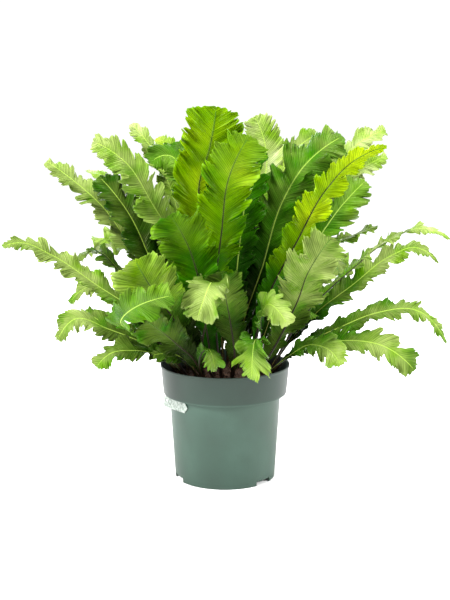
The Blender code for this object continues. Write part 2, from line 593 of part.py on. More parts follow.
def frond_rows():
    """Every frond's row, those seen from the front and then those that a rule sets round the back."""
    rows = list(FRONT_FRONDS)
    for i in range(BACK_FRONDS):
        share = i / (BACK_FRONDS - 1)
        heading = math.radians(BACK_FIRST + (BACK_LAST - BACK_FIRST) * share)
        low = i % 2 == 0
        stretch = BACK_LEAST + BACK_SPREAD * ((i * GOLDEN) % 1.0)
        rib = tuple((r * stretch * math.cos(heading), r * stretch * math.sin(heading), z)
                    for r, z in (LOW_RIB if low else HIGH_RIB))
        twist = BACK_TWIST if i % 3 else -BACK_TWIST
        rows.append((rib, LOW_WIDTH if low else HIGH_WIDTH, *BACK_SHAPE, twist, BARE_SHARE))
    for degrees, young_rib in YOUNG_FRONDS:
        heading = math.radians(degrees)
        rib = tuple((r * math.cos(heading), r * math.sin(heading), z) for r, z in young_rib)
        rows.append((rib, YOUNG_WIDTH, *BACK_SHAPE, 0, BARE_SHARE))
    return rows


def root_places(rows):
    """A root for each rib, on the line to its first point, pushed apart until none stand too close."""
    spots = np.array([row[0][0][:2] for row in rows], float) * ROOT_SHARE
    for _ in range(ROOT_ROUNDS):
        away = spots[:, None] - spots[None]
        gap = np.linalg.norm(away, axis=2)
        close = (gap < ROOT_SPACING) & (gap > 0)
        push = np.where(close, (ROOT_SPACING - gap) / 2 / np.maximum(gap, 1e-6), 0.0)
        spots = spots + (away * push[..., None]).sum(axis=1) * ROOT_EASE
        far = np.linalg.norm(spots, axis=1, keepdims=True)
        spots = spots * np.minimum(1.0, ROOT_REACH / np.maximum(far, 1e-6))
    height = rootstock_height(np.linalg.norm(spots, axis=1) * 10) / 10 - SOCKET_DEPTH / 10
    return np.column_stack([spots, height])


def bends():
    """Shifts of a frond's tip (x, y, z) in centimetres with a share of its width, the least first."""
    found = []
    for deep in BEND_STEPS:
        for across in BEND_STEPS[:ACROSS_STEPS]:
            for up in BEND_STEPS[:UP_STEPS]:
                for width in BEND_WIDTHS:
                    cost = abs(deep) + ACROSS_COST * abs(across) + UP_COST * abs(up)
                    cost += WIDTH_COST * (1 - width)
                    found.append((cost, (across, deep, up - SIGHT_SLOPE * deep), width))
    return [(shift, width) for _, shift, width in sorted(found)]


def bent(row, root, shift, width, number):
    """The frond of one row, its tip moved by a shift that lessens to nothing at its root."""
    rib = np.vstack([root, row[0]])
    knots = np.concatenate([[0.0], np.cumsum(np.linalg.norm(np.diff(rib, axis=0), axis=1))])
    weight = (knots / knots[-1]) ** BEND_POWER
    return Frond(rib + np.outer(weight, shift), row[1] * width, *row[2:], number)


def rim_guard():
    """A ring a little larger than the pot's rim, in centimetres, that no frond may pass through."""
    section = [(GUARD_INNER, GUARD_LOW), (GUARD_INNER, GUARD_TOP)]
    section += [(GUARD_OUTER, GUARD_TOP), (GUARD_OUTER, GUARD_LOW)]
    turns = [math.tau * i / GUARD_SIDES for i in range(GUARD_SIDES)]
    points = [(r * math.cos(turn), r * math.sin(turn), z) for turn in turns for r, z in section]
    faces = []
    for i in range(GUARD_SIDES):
        for j in range(3):
            here, after = i * 4 + j, (i + 1) % GUARD_SIDES * 4 + j
            faces.append((here, here + 1, after + 1, after))
    return np.array(points), faces


def space_taken(points, faces):
    """The box and the surface of something that a frond must keep clear of."""
    return points.min(axis=0), points.max(axis=0), BVHTree.FromPolygons(points.tolist(), faces)


def clear_of(frond, taken):
    """Whether a frond, swollen by its clearance, touches nothing that is already placed."""
    low, high, tree = space_taken(*frond.solid(swell=CLEARANCE))
    return not any((low < b).all() and (high > a).all() and tree.overlap(other) for a, b, other in taken)


def placed_fronds():
    """Every frond, each bent by the least shift that keeps it clear of the rim and of those before it."""
    rows = frond_rows()
    taken = [space_taken(*rim_guard())]
    fronds = []
    for number, (row, root) in enumerate(zip(rows, root_places(rows)), 1):
        choices = (bent(row, root, shift, width, number) for shift, width in bends())
        frond = next(choice for choice in choices if clear_of(choice, taken))
        taken.append(space_taken(*frond.solid()))
        fronds.append(frond)
    return fronds


def make_sockets(fronds, cutters):
    """One cutter that holds a plain hole for each stem: the stem's own foot, a little wider and deeper."""
    points, faces = [], []
    for frond in fronds:
        ring, sides = frond.solid(stem_only=True, swell=SOCKET_GAP / 10)
        ring[:6] -= frond.tangent[0] * SOCKET_GAP / 10
        faces += [tuple(len(points) + i for i in face) for face in sides]
        points += [tuple(p * CM) for p in ring]
    return add_mesh("sockets", points, faces, cutters)


def main():
    for old in list(bpy.data.objects):
        bpy.data.objects.remove(old, do_unlink=True)
    plant = bpy.data.collections.new("potted_birds_nest_fern")
    cutters = bpy.data.collections.new("cutters")
    bpy.context.scene.collection.children.link(plant)
    bpy.context.scene.collection.children.link(cutters)
    make_pot(plant, cutters)
    make_soil(plant)
    make_tag(plant)
    fronds = placed_fronds()
    make_rootstock(plant, make_sockets(fronds, cutters))
    leaf = material("frond_leaf", "5fa01a", 0.4)
    for frond in fronds:
        points, faces = frond.solid()
        add_mesh(f"frond_{frond.number:02d}", points * CM, faces, plant, leaf)


if __name__ == "__main__":
    main()
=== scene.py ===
"""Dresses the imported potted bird's-nest fern: waved fronds with ribs and veins, pot, tag, peat and crown."""
import math

import bpy
import numpy as np
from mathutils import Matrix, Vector


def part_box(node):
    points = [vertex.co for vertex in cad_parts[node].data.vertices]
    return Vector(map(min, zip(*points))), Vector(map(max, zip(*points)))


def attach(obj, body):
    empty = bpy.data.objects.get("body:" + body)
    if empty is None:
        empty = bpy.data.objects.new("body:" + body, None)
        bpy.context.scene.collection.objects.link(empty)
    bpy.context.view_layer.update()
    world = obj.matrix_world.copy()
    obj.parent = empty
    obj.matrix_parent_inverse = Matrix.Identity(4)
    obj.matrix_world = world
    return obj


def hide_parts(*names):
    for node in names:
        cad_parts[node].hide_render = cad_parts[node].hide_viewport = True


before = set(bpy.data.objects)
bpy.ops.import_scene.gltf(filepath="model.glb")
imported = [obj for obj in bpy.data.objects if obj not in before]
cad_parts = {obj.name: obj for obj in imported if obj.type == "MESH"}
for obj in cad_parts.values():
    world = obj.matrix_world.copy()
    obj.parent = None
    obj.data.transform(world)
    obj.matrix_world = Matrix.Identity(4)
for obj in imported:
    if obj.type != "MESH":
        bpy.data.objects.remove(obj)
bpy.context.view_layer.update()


# Camera and light
# The photograph looks slightly down on the pot from about 1.9 m, as the ellipses of rim, band and foot
# show. The light is a white studio: a softbox on either side, one above, a weaker one behind, and white
# walls all round.
CAMERA_PLACE = (0.0, -1.90, 0.638)
CAMERA_TILT = 10.33  # degrees down from level
CAMERA_LENS = 72.0
WALL_LIGHT = 1.06
# Each softbox: its name, place, aim, side and power, in metres and watts.
SOFTBOXES = (
    ("left_softbox", (-2.0, -1.3, 1.7), (0.0, 0.0, 0.3), 0.7, 152.0),
    ("right_softbox", (2.2, -0.7, 1.2), (0.0, 0.0, 0.3), 0.7, 74.0),
    ("top_softbox", (0.2, -0.1, 2.3), (0.0, 0.0, 0.3), 0.7, 72.0),
    ("back_softbox", (-0.5, 1.9, 1.5), (0.0, 0.0, 0.4), 1.0, 30.0),
)

camera = bpy.data.objects.new("camera", bpy.data.cameras.new("camera"))
camera.data.lens = CAMERA_LENS
camera.location = CAMERA_PLACE
camera.rotation_euler = (math.radians(90.0 - CAMERA_TILT), 0.0, 0.0)
bpy.context.scene.collection.objects.link(camera)
bpy.context.scene.camera = camera


def linear(code):
    """An sRGB hex value as linear red, green, blue and alpha."""
    parts = [int(code[i:i + 2], 16) / 255 for i in (0, 2, 4)]
    return (*(c / 12.92 if c <= 0.04045 else ((c + 0.055) / 1.055) ** 2.4 for c in parts), 1.0)


for title, spot, aim, side_length, power in SOFTBOXES:
    lamp = bpy.data.lights.new(title, "AREA")
    lamp.size = side_length
    lamp.energy = power
    holder = bpy.data.objects.new(title, lamp)
    holder.location = spot
    holder.rotation_euler = (Vector(aim) - Vector(spot)).to_track_quat("-Z", "Y").to_euler()
    bpy.context.scene.collection.objects.link(holder)

world = bpy.data.worlds.new("studio_air")
world.use_nodes = True
world.node_tree.nodes["Background"].inputs["Color"].default_value = linear("ffffff")
world.node_tree.nodes["Background"].inputs["Strength"].default_value = WALL_LIGHT
bpy.context.scene.world = world
bpy.context.scene.view_settings.view_transform = "Standard"


# Floor
# Seamless white studio paper, matt and level with the pot's foot. It runs on past the picture's edge, so
# that no horizon shows.
FLOOR_RADII = (0.02, 0.3, 1.0, 3.0, 9.0)  # metres
FLOOR_SIDES = 64
FLOOR_COLOUR = "fcfcfc"
FLOOR_ROUGHNESS = 0.9
FLOOR_SHEEN = 0.1


def quad_sheet(rows, columns, first=0, flip=False):
    """Quads of a grid of points laid out row by row."""
    i, j = np.meshgrid(np.arange(rows - 1), np.arange(columns - 1), indexing="ij")
    corner = (first + i * columns + j).ravel()
    quads = np.stack([corner, corner + 1, corner + columns + 1, corner + columns], axis=1)
    return quads[:, ::-1] if flip else quads


def mesh_object(name, points, faces, slots, kinds=None, values=None, uv=None, smooth=True):
    """A mesh object in metres from faces that all have as many corners, with material slots, a slot for
    each face, attributes of the points and a UV map."""
    corners = faces.shape[1]
    mesh = bpy.data.meshes.new(name)
    mesh.vertices.add(len(points))
    mesh.vertices.foreach_set("co", np.ascontiguousarray(points, np.float32).ravel())
    mesh.loops.add(faces.size)
    mesh.loops.foreach_set("vertex_index", faces.astype(np.int32).ravel())
    mesh.polygons.add(len(faces))
    mesh.polygons.foreach_set("loop_start", np.arange(0, faces.size, corners, dtype=np.int32))
    mesh.polygons.foreach_set("use_smooth", np.full(len(faces), smooth))
    if kinds is not None:
        mesh.polygons.foreach_set("material_index", kinds.astype(np.int32))
    for finish in slots:
        mesh.materials.append(finish)
    for key, value in (values or {}).items():
        mesh.attributes.new(key, "FLOAT", "POINT").data.foreach_set("value", value.astype(np.float32))
    if uv is not None:
        mesh.uv_layers.new(name="vein").data.foreach_set("uv", uv[faces.ravel()].astype(np.float32).ravel())
    mesh.update()
    mesh.validate()
    made = bpy.data.objects.new(name, mesh)
    bpy.context.scene.collection.objects.link(made)
    return made


def new_material(name):
    """An empty material with a Principled shader, and that shader."""
    made = bpy.data.materials.new(name)
    made.use_nodes = True
    return made, made.node_tree.nodes["Principled BSDF"]


def feed(made, target, inputs):
    """Gives each named input of a node its value, or links it to another node's output."""
    for key, value in inputs.items():
        if isinstance(value, bpy.types.NodeSocket):
            made.node_tree.links.new(value, target.inputs[key])
        else:
            target.inputs[key].default_value = value


def make_floor():
    """A level disc: rings of points at the floor's radii, with the cosine and sine of even turns."""
    radii = np.array(FLOOR_RADII)
    around = np.linspace(0.0, math.tau, FLOOR_SIDES + 1)
    level = np.zeros((len(radii), len(around)))
    points = np.stack([radii[:, None] * np.cos(around), radii[:, None] * np.sin(around), level], axis=2)
    quads = quad_sheet(len(radii), len(around))
    finish, shader = new_material("white_studio_floor")  # uncoated paper: no gloss, only a soft shadow
    feed(finish, shader, {"Base Color": linear(FLOOR_COLOUR), "Roughness": FLOOR_ROUGHNESS,
                          "Specular IOR Level": FLOOR_SHEEN})
    mesh_object("floor", points.reshape(-1, 3), quads, [finish])


make_floor()


# Fronds
# Each frond is one living leaf: a thin waxy blade, waved, lobed and toothed, with leaning veins, on a hard
# rib that stands out beneath it. It grows out of the crown on the rib's bare foot. Lengths are in
# centimetres.

# The shape follows the model's own: its rib, width and waves repeat that source's rule, and its place
# among its neighbours is the first of that rule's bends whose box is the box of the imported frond.
CM = 0.01
GOLDEN = 0.618034  # steps of this, less whole turns, spread values evenly without repeating
ROOT_SHARE = 0.6  # how far out a frond's root lies, as a share of its rib's first point
ROOT_REACH = 6.6
ROOT_SPACING = 1.5
ROOT_ROUNDS = 200
ROOT_EASE = 0.8  # share of each push that a round makes
CROWN_TOP = 17.7
CROWN_FALL = 1.45
CROWN_RADIUS = 7.55
CROWN_POWER = 2.2
SOCKET_DEPTH = 0.85
STEM_HALF = 0.25
STEM_EDGE = 0.16
BLADE_EDGE = 0.09
EDGE_THINNING = 8.0  # the stem's thick edges thin out within an eighth of the rib
KEEL = (0.24, 0.07)  # how far the rib stands out beneath, at its foot and at its tip
RIDGE = (0.15, 0.05)  # how far it stands out above
STEM_STRAIGHT = 2.6
BARE_SHARE = 0.12
START_MARGIN = 1.15  # no blade starts lower than this many times the stem's straight stretch
FEWEST_ROWS = 10
ROW_SPACING = 4.5
TURN_END = 0.4
SQUARE_SHARE = 0.6  # share of the rib where a frond shows its side most squarely
TIP_ROUNDING = 0.22  # how fast the tip's round end falls back from the rib
VEIN_POWER = 0.95
VEIN_STRETCH = 1.12
VEIN_DROOP = 0.5  # radians that a vein sinks from rib to margin
LEAN = (60.0, 50.0)  # degrees between a vein and the rib
CUP = (34.0, 8.0)  # degrees that the blade's sides rise from the rib
LOBE_LEAST, LOBE_SPREAD = 0.45, 0.6
LOBE_STEP = 0.37
LOBE_POWER = 3
FADE_FOOT, FADE_TIP, FADE_END = 5.0, 8.0, 1.02  # the lobes lessen toward the stem and the tip
WAVE_SWING = 1.7  # radians that a vein's end swings for a frill of 1
WAVE_FULL = 2.0
WAVE_STEP, WAVE_SIDE = 2.4, 1.3
WAVE_LENGTH = 5.2
SIGHT_SLOPE = 0.18  # how far the picture's line of sight falls for each centimetre that it goes back
RIB_SAMPLES = 72
VEIN_STEPS = 8
TINY = 1e-9

# One row for each frond that the front view shows: the points that its rib passes after it leaves the
# rootstock (x, y, z), half the blade's width, how blunt its tip is, how deep its lobes are cut, how much
# its margin waves, which side it shows the front (1 is squarely the top, -1 squarely the underside and
# 0 is as it grows), how far its tip turns further about the rib, in degrees, and the share of the rib
# that is bare stalk.
FRONT_FRONDS = (
    (((-5, -8, 23), (-8.5, -14, 30), (-11.5, -18, 35.5), (-13, -19, 38.5)),
     5.6, 0.26, 0.16, 0.25, -0.85, 0, BARE_SHARE),
    (((-1.5, -7, 32), (-0.5, -9.5, 41.5), (0.5, -12, 49.5), (3.5, -15, 56)),
     5.0, 0.35, 0.42, 0.3, -0.75, 0, BARE_SHARE),
    (((-3, -3, 29.5), (-3.5, -4.5, 41), (-4, -5.5, 48), (-2.3, -7, 54), (-1.3, -8, 60)),
     5.6, 0.26, 0.16, 0.3, -0.95, 0, BARE_SHARE),
    (((-3, -7, 26.5), (-4, -9.5, 34), (-5.5, -12, 39.5), (-8, -15, 44.5)),
     5.2, 0.26, 0.18, 0.3, -0.85, 0, BARE_SHARE),
    (((3, 1, 25), (6, 2, 34), (9.5, 4, 45), (13, 5, 50.5), (19, 6, 55)),
     5.4, 0.5, 0.3, 0.35, 0.75, -20, BARE_SHARE),
    (((6.5, -5, 30), (11, -9, 40), (15, -12, 48), (18.5, -13, 52), (23.5, -14, 54.5)),
     3.3, 0.8, 0.25, 0.35, -0.7, 0, BARE_SHARE),
    (((8, -7, 23.5), (11, -11, 31), (12.5, -15, 36.5), (15.5, -17, 41.5)),
     4.8, 0.45, 0.34, 0.35, -0.8, 0, BARE_SHARE),
    (((-10, -8, 23.5), (-15.5, -15, 28.5), (-12.5, -20, 32), (-7.5, -23, 34)),
     3.4, 0.5, 0.3, 0.3, 0.8, 0, 0.3),
    (((-3.5, -9, 23), (-2.5, -13, 29.5), (-2, -18, 35), (-4, -23, 30.5)),
     3.8, 0.4, 0.35, 0.35, 0, 0, 0.45),
    (((5, -7.5, 20.5), (4.7, -11, 25), (4.3, -14, 24.7), (4, -15, 19.8)),
     3.6, 0.4, 0.4, 0.4, 0, 0, 0.35),
    (((5.5, -10.5, 24.5), (5.5, -15.5, 29.5), (6.5, -19, 32), (9.3, -22.5, 29.5)),
     2.7, 0.6, 0.3, 0.35, 0.4, 0, 0.45),
    (((13, -2, 27.5), (19.5, -4, 34.5), (25.5, -5, 39.5), (30, -6, 41.5), (34.5, -7, 40)),
     2.5, 0.8, 0.35, 0.35, -0.4, 60, 0.2),
    (((15, 3, 26.5), (21, 4, 31), (27, 5, 35.5), (31, 5, 37), (35, 5, 34.5)),
     2.7, 0.9, 0.35, 0.35, 0.5, 0, BARE_SHARE),
    (((12, -1, 21.5), (18.5, -1.5, 25), (24.5, -2, 27.5), (30, -2, 28), (35.5, -2, 22.5)),
     2.5, 0.7, 0.35, 0.35, 0.4, 0, BARE_SHARE),
    (((12, -3, 21.5), (18, -5, 23.5), (25, -7, 23), (29.5, -8, 19.5)),
     3.1, 0.4, 0.3, 0.35, 0.5, 0, BARE_SHARE),
    (((-12, -1, 25.5), (-20.5, -2, 32), (-27.5, -3, 37), (-32, -4, 39), (-34.5, -5, 38.5)),
     2.7, 0.7, 0.3, 0.35, 0.45, 0, BARE_SHARE),
    (((-6, -3, 28), (-8, -5, 39.5), (-11, -6, 45), (-15, -7, 51.5), (-19.5, -8, 54.5)),
     3.6, 0.5, 0.42, 0.3, 0.7, 0, BARE_SHARE),
    (((-12, -5, 22.5), (-18, -8, 26), (-23, -10, 28), (-25.5, -11, 25)),
     2.9, 0.6, 0.3, 0.35, 0.4, 0, BARE_SHARE),
    (((-8.5, 6, 26.5), (-16, 9, 37), (-20.5, 11, 43), (-25, 12, 47), (-30, 13, 50.5)),
     2.9, 0.5, 0.3, 0.35, 0.5, 0, BARE_SHARE),
    (((-7.5, 2, 24.5), (-12, 3, 35), (-15.5, 4, 42.5), (-20.5, 6, 48.5)),
     3.8, 0.5, 0.2, 0.25, 0.6, 0, BARE_SHARE),
    (((1.5, 2, 29), (2.5, 4, 38.5), (3.5, 6, 46.5), (4, 8, 52.5)),
     4.4, 0.45, 0.35, 0.35, 0.6, 0, BARE_SHARE),
    (((3.5, 7, 36.5), (6, 10, 45), (7, 12, 51.5), (5, 13, 58)),
     4.2, 0.45, 0.25, 0.3, 0.6, 0, BARE_SHARE),
    (((-3.5, 2, 30.5), (-5, 4, 42.5), (-6.5, 5, 49.5), (-9, 5, 52), (-12, 4, 51)),
     4.0, 0.5, 0.3, 0.35, 0.6, 0, BARE_SHARE),
    (((8, 1, 27.5), (14.5, 2, 38), (19, 2, 44.5), (22.5, 3, 48)),
     4.0, 0.45, 0.4, 0.35, 0.7, 0, BARE_SHARE),
    (((1.5, -8, 21.5), (1, -11, 26.5), (0, -15, 33), (-0.5, -17, 36.5)),
     3.8, 0.4, 0.2, 0.25, -0.5, 0, BARE_SHARE),
    (((-4, -9, 20.5), (-3.5, -11, 23), (-2.5, -13, 24), (-1.5, -14.5, 21)),
     2.2, 0.5, 0.3, 0.3, 0, 0, 0.45),
    (((-6.5, -7, 21), (-8.5, -9.5, 22.5), (-11, -10.5, 22.5)),
     2.0, 0.5, 0.3, 0.3, 0.4, 0, 0.3),
    (((10, -7, 21.5), (13.5, -10, 24), (16, -12, 23.5), (17.5, -13, 21.5)),
     3.0, 0.4, 0.4, 0.35, 0.4, 0, 0.3),
    (((-10.5, -2, 21), (-15, -2, 23.5), (-19.5, -1, 25.5), (-22.5, 0, 27.5)),
     2.8, 0.6, 0.3, 0.3, 0.5, 0, BARE_SHARE),
    (((-10, -7, 22.5), (-14, -10, 25), (-17.5, -11.5, 25.5), (-19.5, -12, 24)),
     2.6, 0.5, 0.4, 0.35, 0.3, 0, BARE_SHARE),
    (((10.5, 4, 35), (17, 6, 44.5), (22, 7, 49.5), (26.5, 7, 52)),
     3.1, 0.5, 0.35, 0.4, 0.5, 0, BARE_SHARE),
    (((10, 8, 36), (16.5, 11, 46.5), (21.5, 12, 53), (27, 13, 56)),
     3.2, 0.45, 0.25, 0.35, 0.5, 0, BARE_SHARE),
    (((5.5, 10, 37.5), (9, 13, 47.5), (12.5, 14, 53), (15.5, 14, 55)),
     3.6, 0.45, 0.35, 0.35, 0.5, 0, BARE_SHARE),
    (((7, 9, 30), (12.5, 13, 39.5), (17.5, 16, 46.5)),
     3.4, 0.5, 0.3, 0.35, 0.5, 0, BARE_SHARE),
    (((11, 6, 30), (16, 8, 36), (20.5, 9, 38), (25.5, 10, 40)),
     2.6, 0.6, 0.3, 0.35, 0, 0, 0.3),
    (((-3.5, 10, 34), (-7, 13, 45), (-9, 15, 50.5), (-11, 16, 54.5)),
     3.6, 0.5, 0.3, 0.35, 0.4, 0, BARE_SHARE),
    (((-6.5, 8, 36), (-9, 10, 46), (-12, 11, 52.5), (-15.5, 12, 56.5)),
     2.8, 0.5, 0.3, 0.35, 0.4, 0, BARE_SHARE),
    (((-12, 8, 26), (-17.5, 10, 32), (-21.5, 11, 35.5), (-25.5, 12, 34)),
     2.8, 0.6, 0.3, 0.35, 0, 0, 0.3),
    (((-12.5, 4, 23.5), (-18, 5, 28.5), (-22, 5, 30.5), (-25.5, 4, 28)),
     2.7, 0.6, 0.45, 0.35, 0.3, 0, BARE_SHARE),
    (((1.5, -7.5, 21.5), (2, -9, 23.5), (2.5, -10, 26)),
     2.2, 0.5, 0.25, 0.3, 0, 0, 0.35),
    (((-5, -9, 21.5), (-7.5, -13, 25), (-10.5, -16.5, 28.5), (-13, -19, 31)),
     4.0, 0.3, 0.2, 0.3, -0.8, 0, 0.1),
)

# Fronds at the back and sides follow a rule: their headings are spread evenly, high and low by turns.
BACK_FRONDS = 10
BACK_HEADINGS = (50.0, 142.0)  # the first and the last, in degrees from +X
BACK_LEAST, BACK_SPREAD = 0.92, 0.16  # how far a back frond stretches, as a share of its rib
BACK_TWIST = 12.0
LOW_WIDTH, HIGH_WIDTH, YOUNG_WIDTH = 4.2, 4.0, 3.2
BACK_SHAPE = (0.45, 0.3, 0.35, 0)  # how blunt, how deep the lobes, how waved and which side shows
LOW_RIB = ((9.0, 24.5), (18.0, 33.0), (26.0, 36.5), (32.0, 33.0))
HIGH_RIB = ((6.5, 30.0), (12.0, 41.0), (18.0, 48.0), (23.5, 50.5))
# Young fronds stand among them, each at a heading in degrees from +X with a low or a high rib.
YOUNG_LOW_RIB = ((7.5, 21.0), (10.0, 24.0), (13.0, 25.5), (16.0, 24.0))
YOUNG_HIGH_RIB = ((6.5, 23.0), (9.0, 28.0), (12.0, 32.0), (15.0, 34.0))
YOUNG_FRONDS = ((20.0, YOUNG_LOW_RIB), (98.0, YOUNG_LOW_RIB), (134.0, YOUNG_LOW_RIB),
                (56.0, YOUNG_HIGH_RIB), (168.0, YOUNG_HIGH_RIB))

# A frond that would touch another bends by the least of these, in centimetres or shares of its width.
BEND_STEPS = (0, 1.5, -1.5, 3, -3, 4.5, -4.5, 6, -6, 8, -8, 10, -10, 12, -12)
ACROSS_STEPS, UP_STEPS = 11, 5  # how many of these serve across and up
BEND_WIDTHS = (1.0, 0.85, 0.7, 0.55)
BEND_POWER = 1.2
ACROSS_COST, UP_COST, WIDTH_COST = 2.0, 2.0, 22.0
BOX_MATCH = 0.01

# Fine detail that the solids leave out: fingers, teeth and ruffles along the margin, and low pleats.
UPPER_SIDE, UNDERSIDE, RIB_ABOVE, RIB_BENEATH = range(4)  # the slots of a frond's piece
BLADE_THICKNESS = 0.05
BLADE_FROM = 0.5  # the fine blade starts as a narrow wing at this share of the bare stalk
FRONT_SPACING, BACK_SPACING = 0.15, 0.26
FEWEST_FINE_ROWS = 24
FINE_LOBE_LEAST, FINE_LOBE_SPREAD = 0.5, 0.9
FINE_LOBE_POWER = 2.2
FINGER_LENGTH = 1.2
FINGER_SHARE = 0.65
FINGER_LIFT = 1.2
FINGER_STEP, FINGER_SIDE = 0.37, 0.21  # how far the pattern shifts with the frond's number and side
FINGER_UNEVEN, FINGER_DRIFT, FINGER_TURN = 0.45, 0.7, 5.0
FINGER_DEPTH_POWER, FINGER_POWER = 1.5, 4
FINGER_LEAST, FINGER_BY_LOBE = 0.4, 2.0  # fingers are cut deeper on a leaf whose lobes are
FINGER_DRAWS = 3
TOOTH_LENGTH = 0.8
TOOTH_DEPTH = 0.5
TOOTH_STEP, TOOTH_SIDE = 0.71, 0.29
TOOTH_UNEVEN, TOOTH_DRIFT = 0.5, 0.9
TOOTH_LEAST = 0.2
TOOTH_POWER = 1.5
TOOTH_GROWTH = 6.0
TOOTH_MOST = 0.3  # no tooth takes more than this share of its vein
RUFFLE_LENGTH = 3.1
RUFFLE_SWING = 0.55
RUFFLE_UNEVEN, RUFFLE_DRIFT = 1.8, 0.5
RUFFLE_FRILL = 0.35  # the frill at which a ruffle has its full swing
PLEAT_LENGTH = 1.3
PLEAT_RISE = 0.03
PLEAT_UNEVEN, PLEAT_DRIFT = 2.0, 0.6
PLEAT_END = 1.1  # a pleat sinks back to nothing just before the margin
RIB_SPACING = 0.6
RIB_SIDES = 10
RIB_END = 0.985
FEWEST_RIB_ROWS = 12
RIB_HALF = (0.22, 0.04)  # half the round rib's width
RIB_TAPER = 0.7
KEEL_SHARE, RIDGE_SHARE = 0.95, 0.8  # the round rib stays inside the solid's own
TENDER = (9, 10, 11, 26, 28, 40)  # fronds that hang over the rim, glossier and more crumpled
TENDER_RUFFLE = 1.8


def unit(vectors):
    """Vectors made one long."""
    return vectors / np.maximum(np.linalg.norm(vectors, axis=-1, keepdims=True), TINY)


def smoothstep(x):
    """Nothing up to 0 and 1 from 1 on, and between them three squares less two cubes of x."""
    x = np.clip(x, 0.0, 1.0)
    return x * x * (3 - 2 * x)


def between(ends, share):
    """The value that lies an even share of the way from the first to the last."""
    return ends[0] + (ends[1] - ends[0]) * share


def way_along(points):
    """How far each point lies along the straight pieces that join them."""
    return np.concatenate([[0.0], np.cumsum(np.linalg.norm(np.diff(points, axis=0), axis=1))])


def smooth_line(points):
    """Even samples of a smooth curve through points, and the length of the line that joins them.

    Between two points the curve is a cubic that leaves and meets them at the slopes which the points on
    either side give them.
    """
    knots = way_along(points)
    slopes = np.gradient(points, knots, axis=0, edge_order=2)
    at = np.linspace(0.0, knots[-1], RIB_SAMPLES)
    low = np.clip(np.searchsorted(knots, at, side="right") - 1, 0, len(knots) - 2)
    span = (knots[low + 1] - knots[low])[:, None]
    x = (at - knots[low])[:, None] / span
    rise = 3 * x ** 2 - 2 * x ** 3
    line = points[low] * (1 - rise) + points[low + 1] * rise
    line += span * (slopes[low] * (x - 2 * x ** 2 + x ** 3) + slopes[low + 1] * (x ** 3 - x ** 2))
    return line, knots[-1]


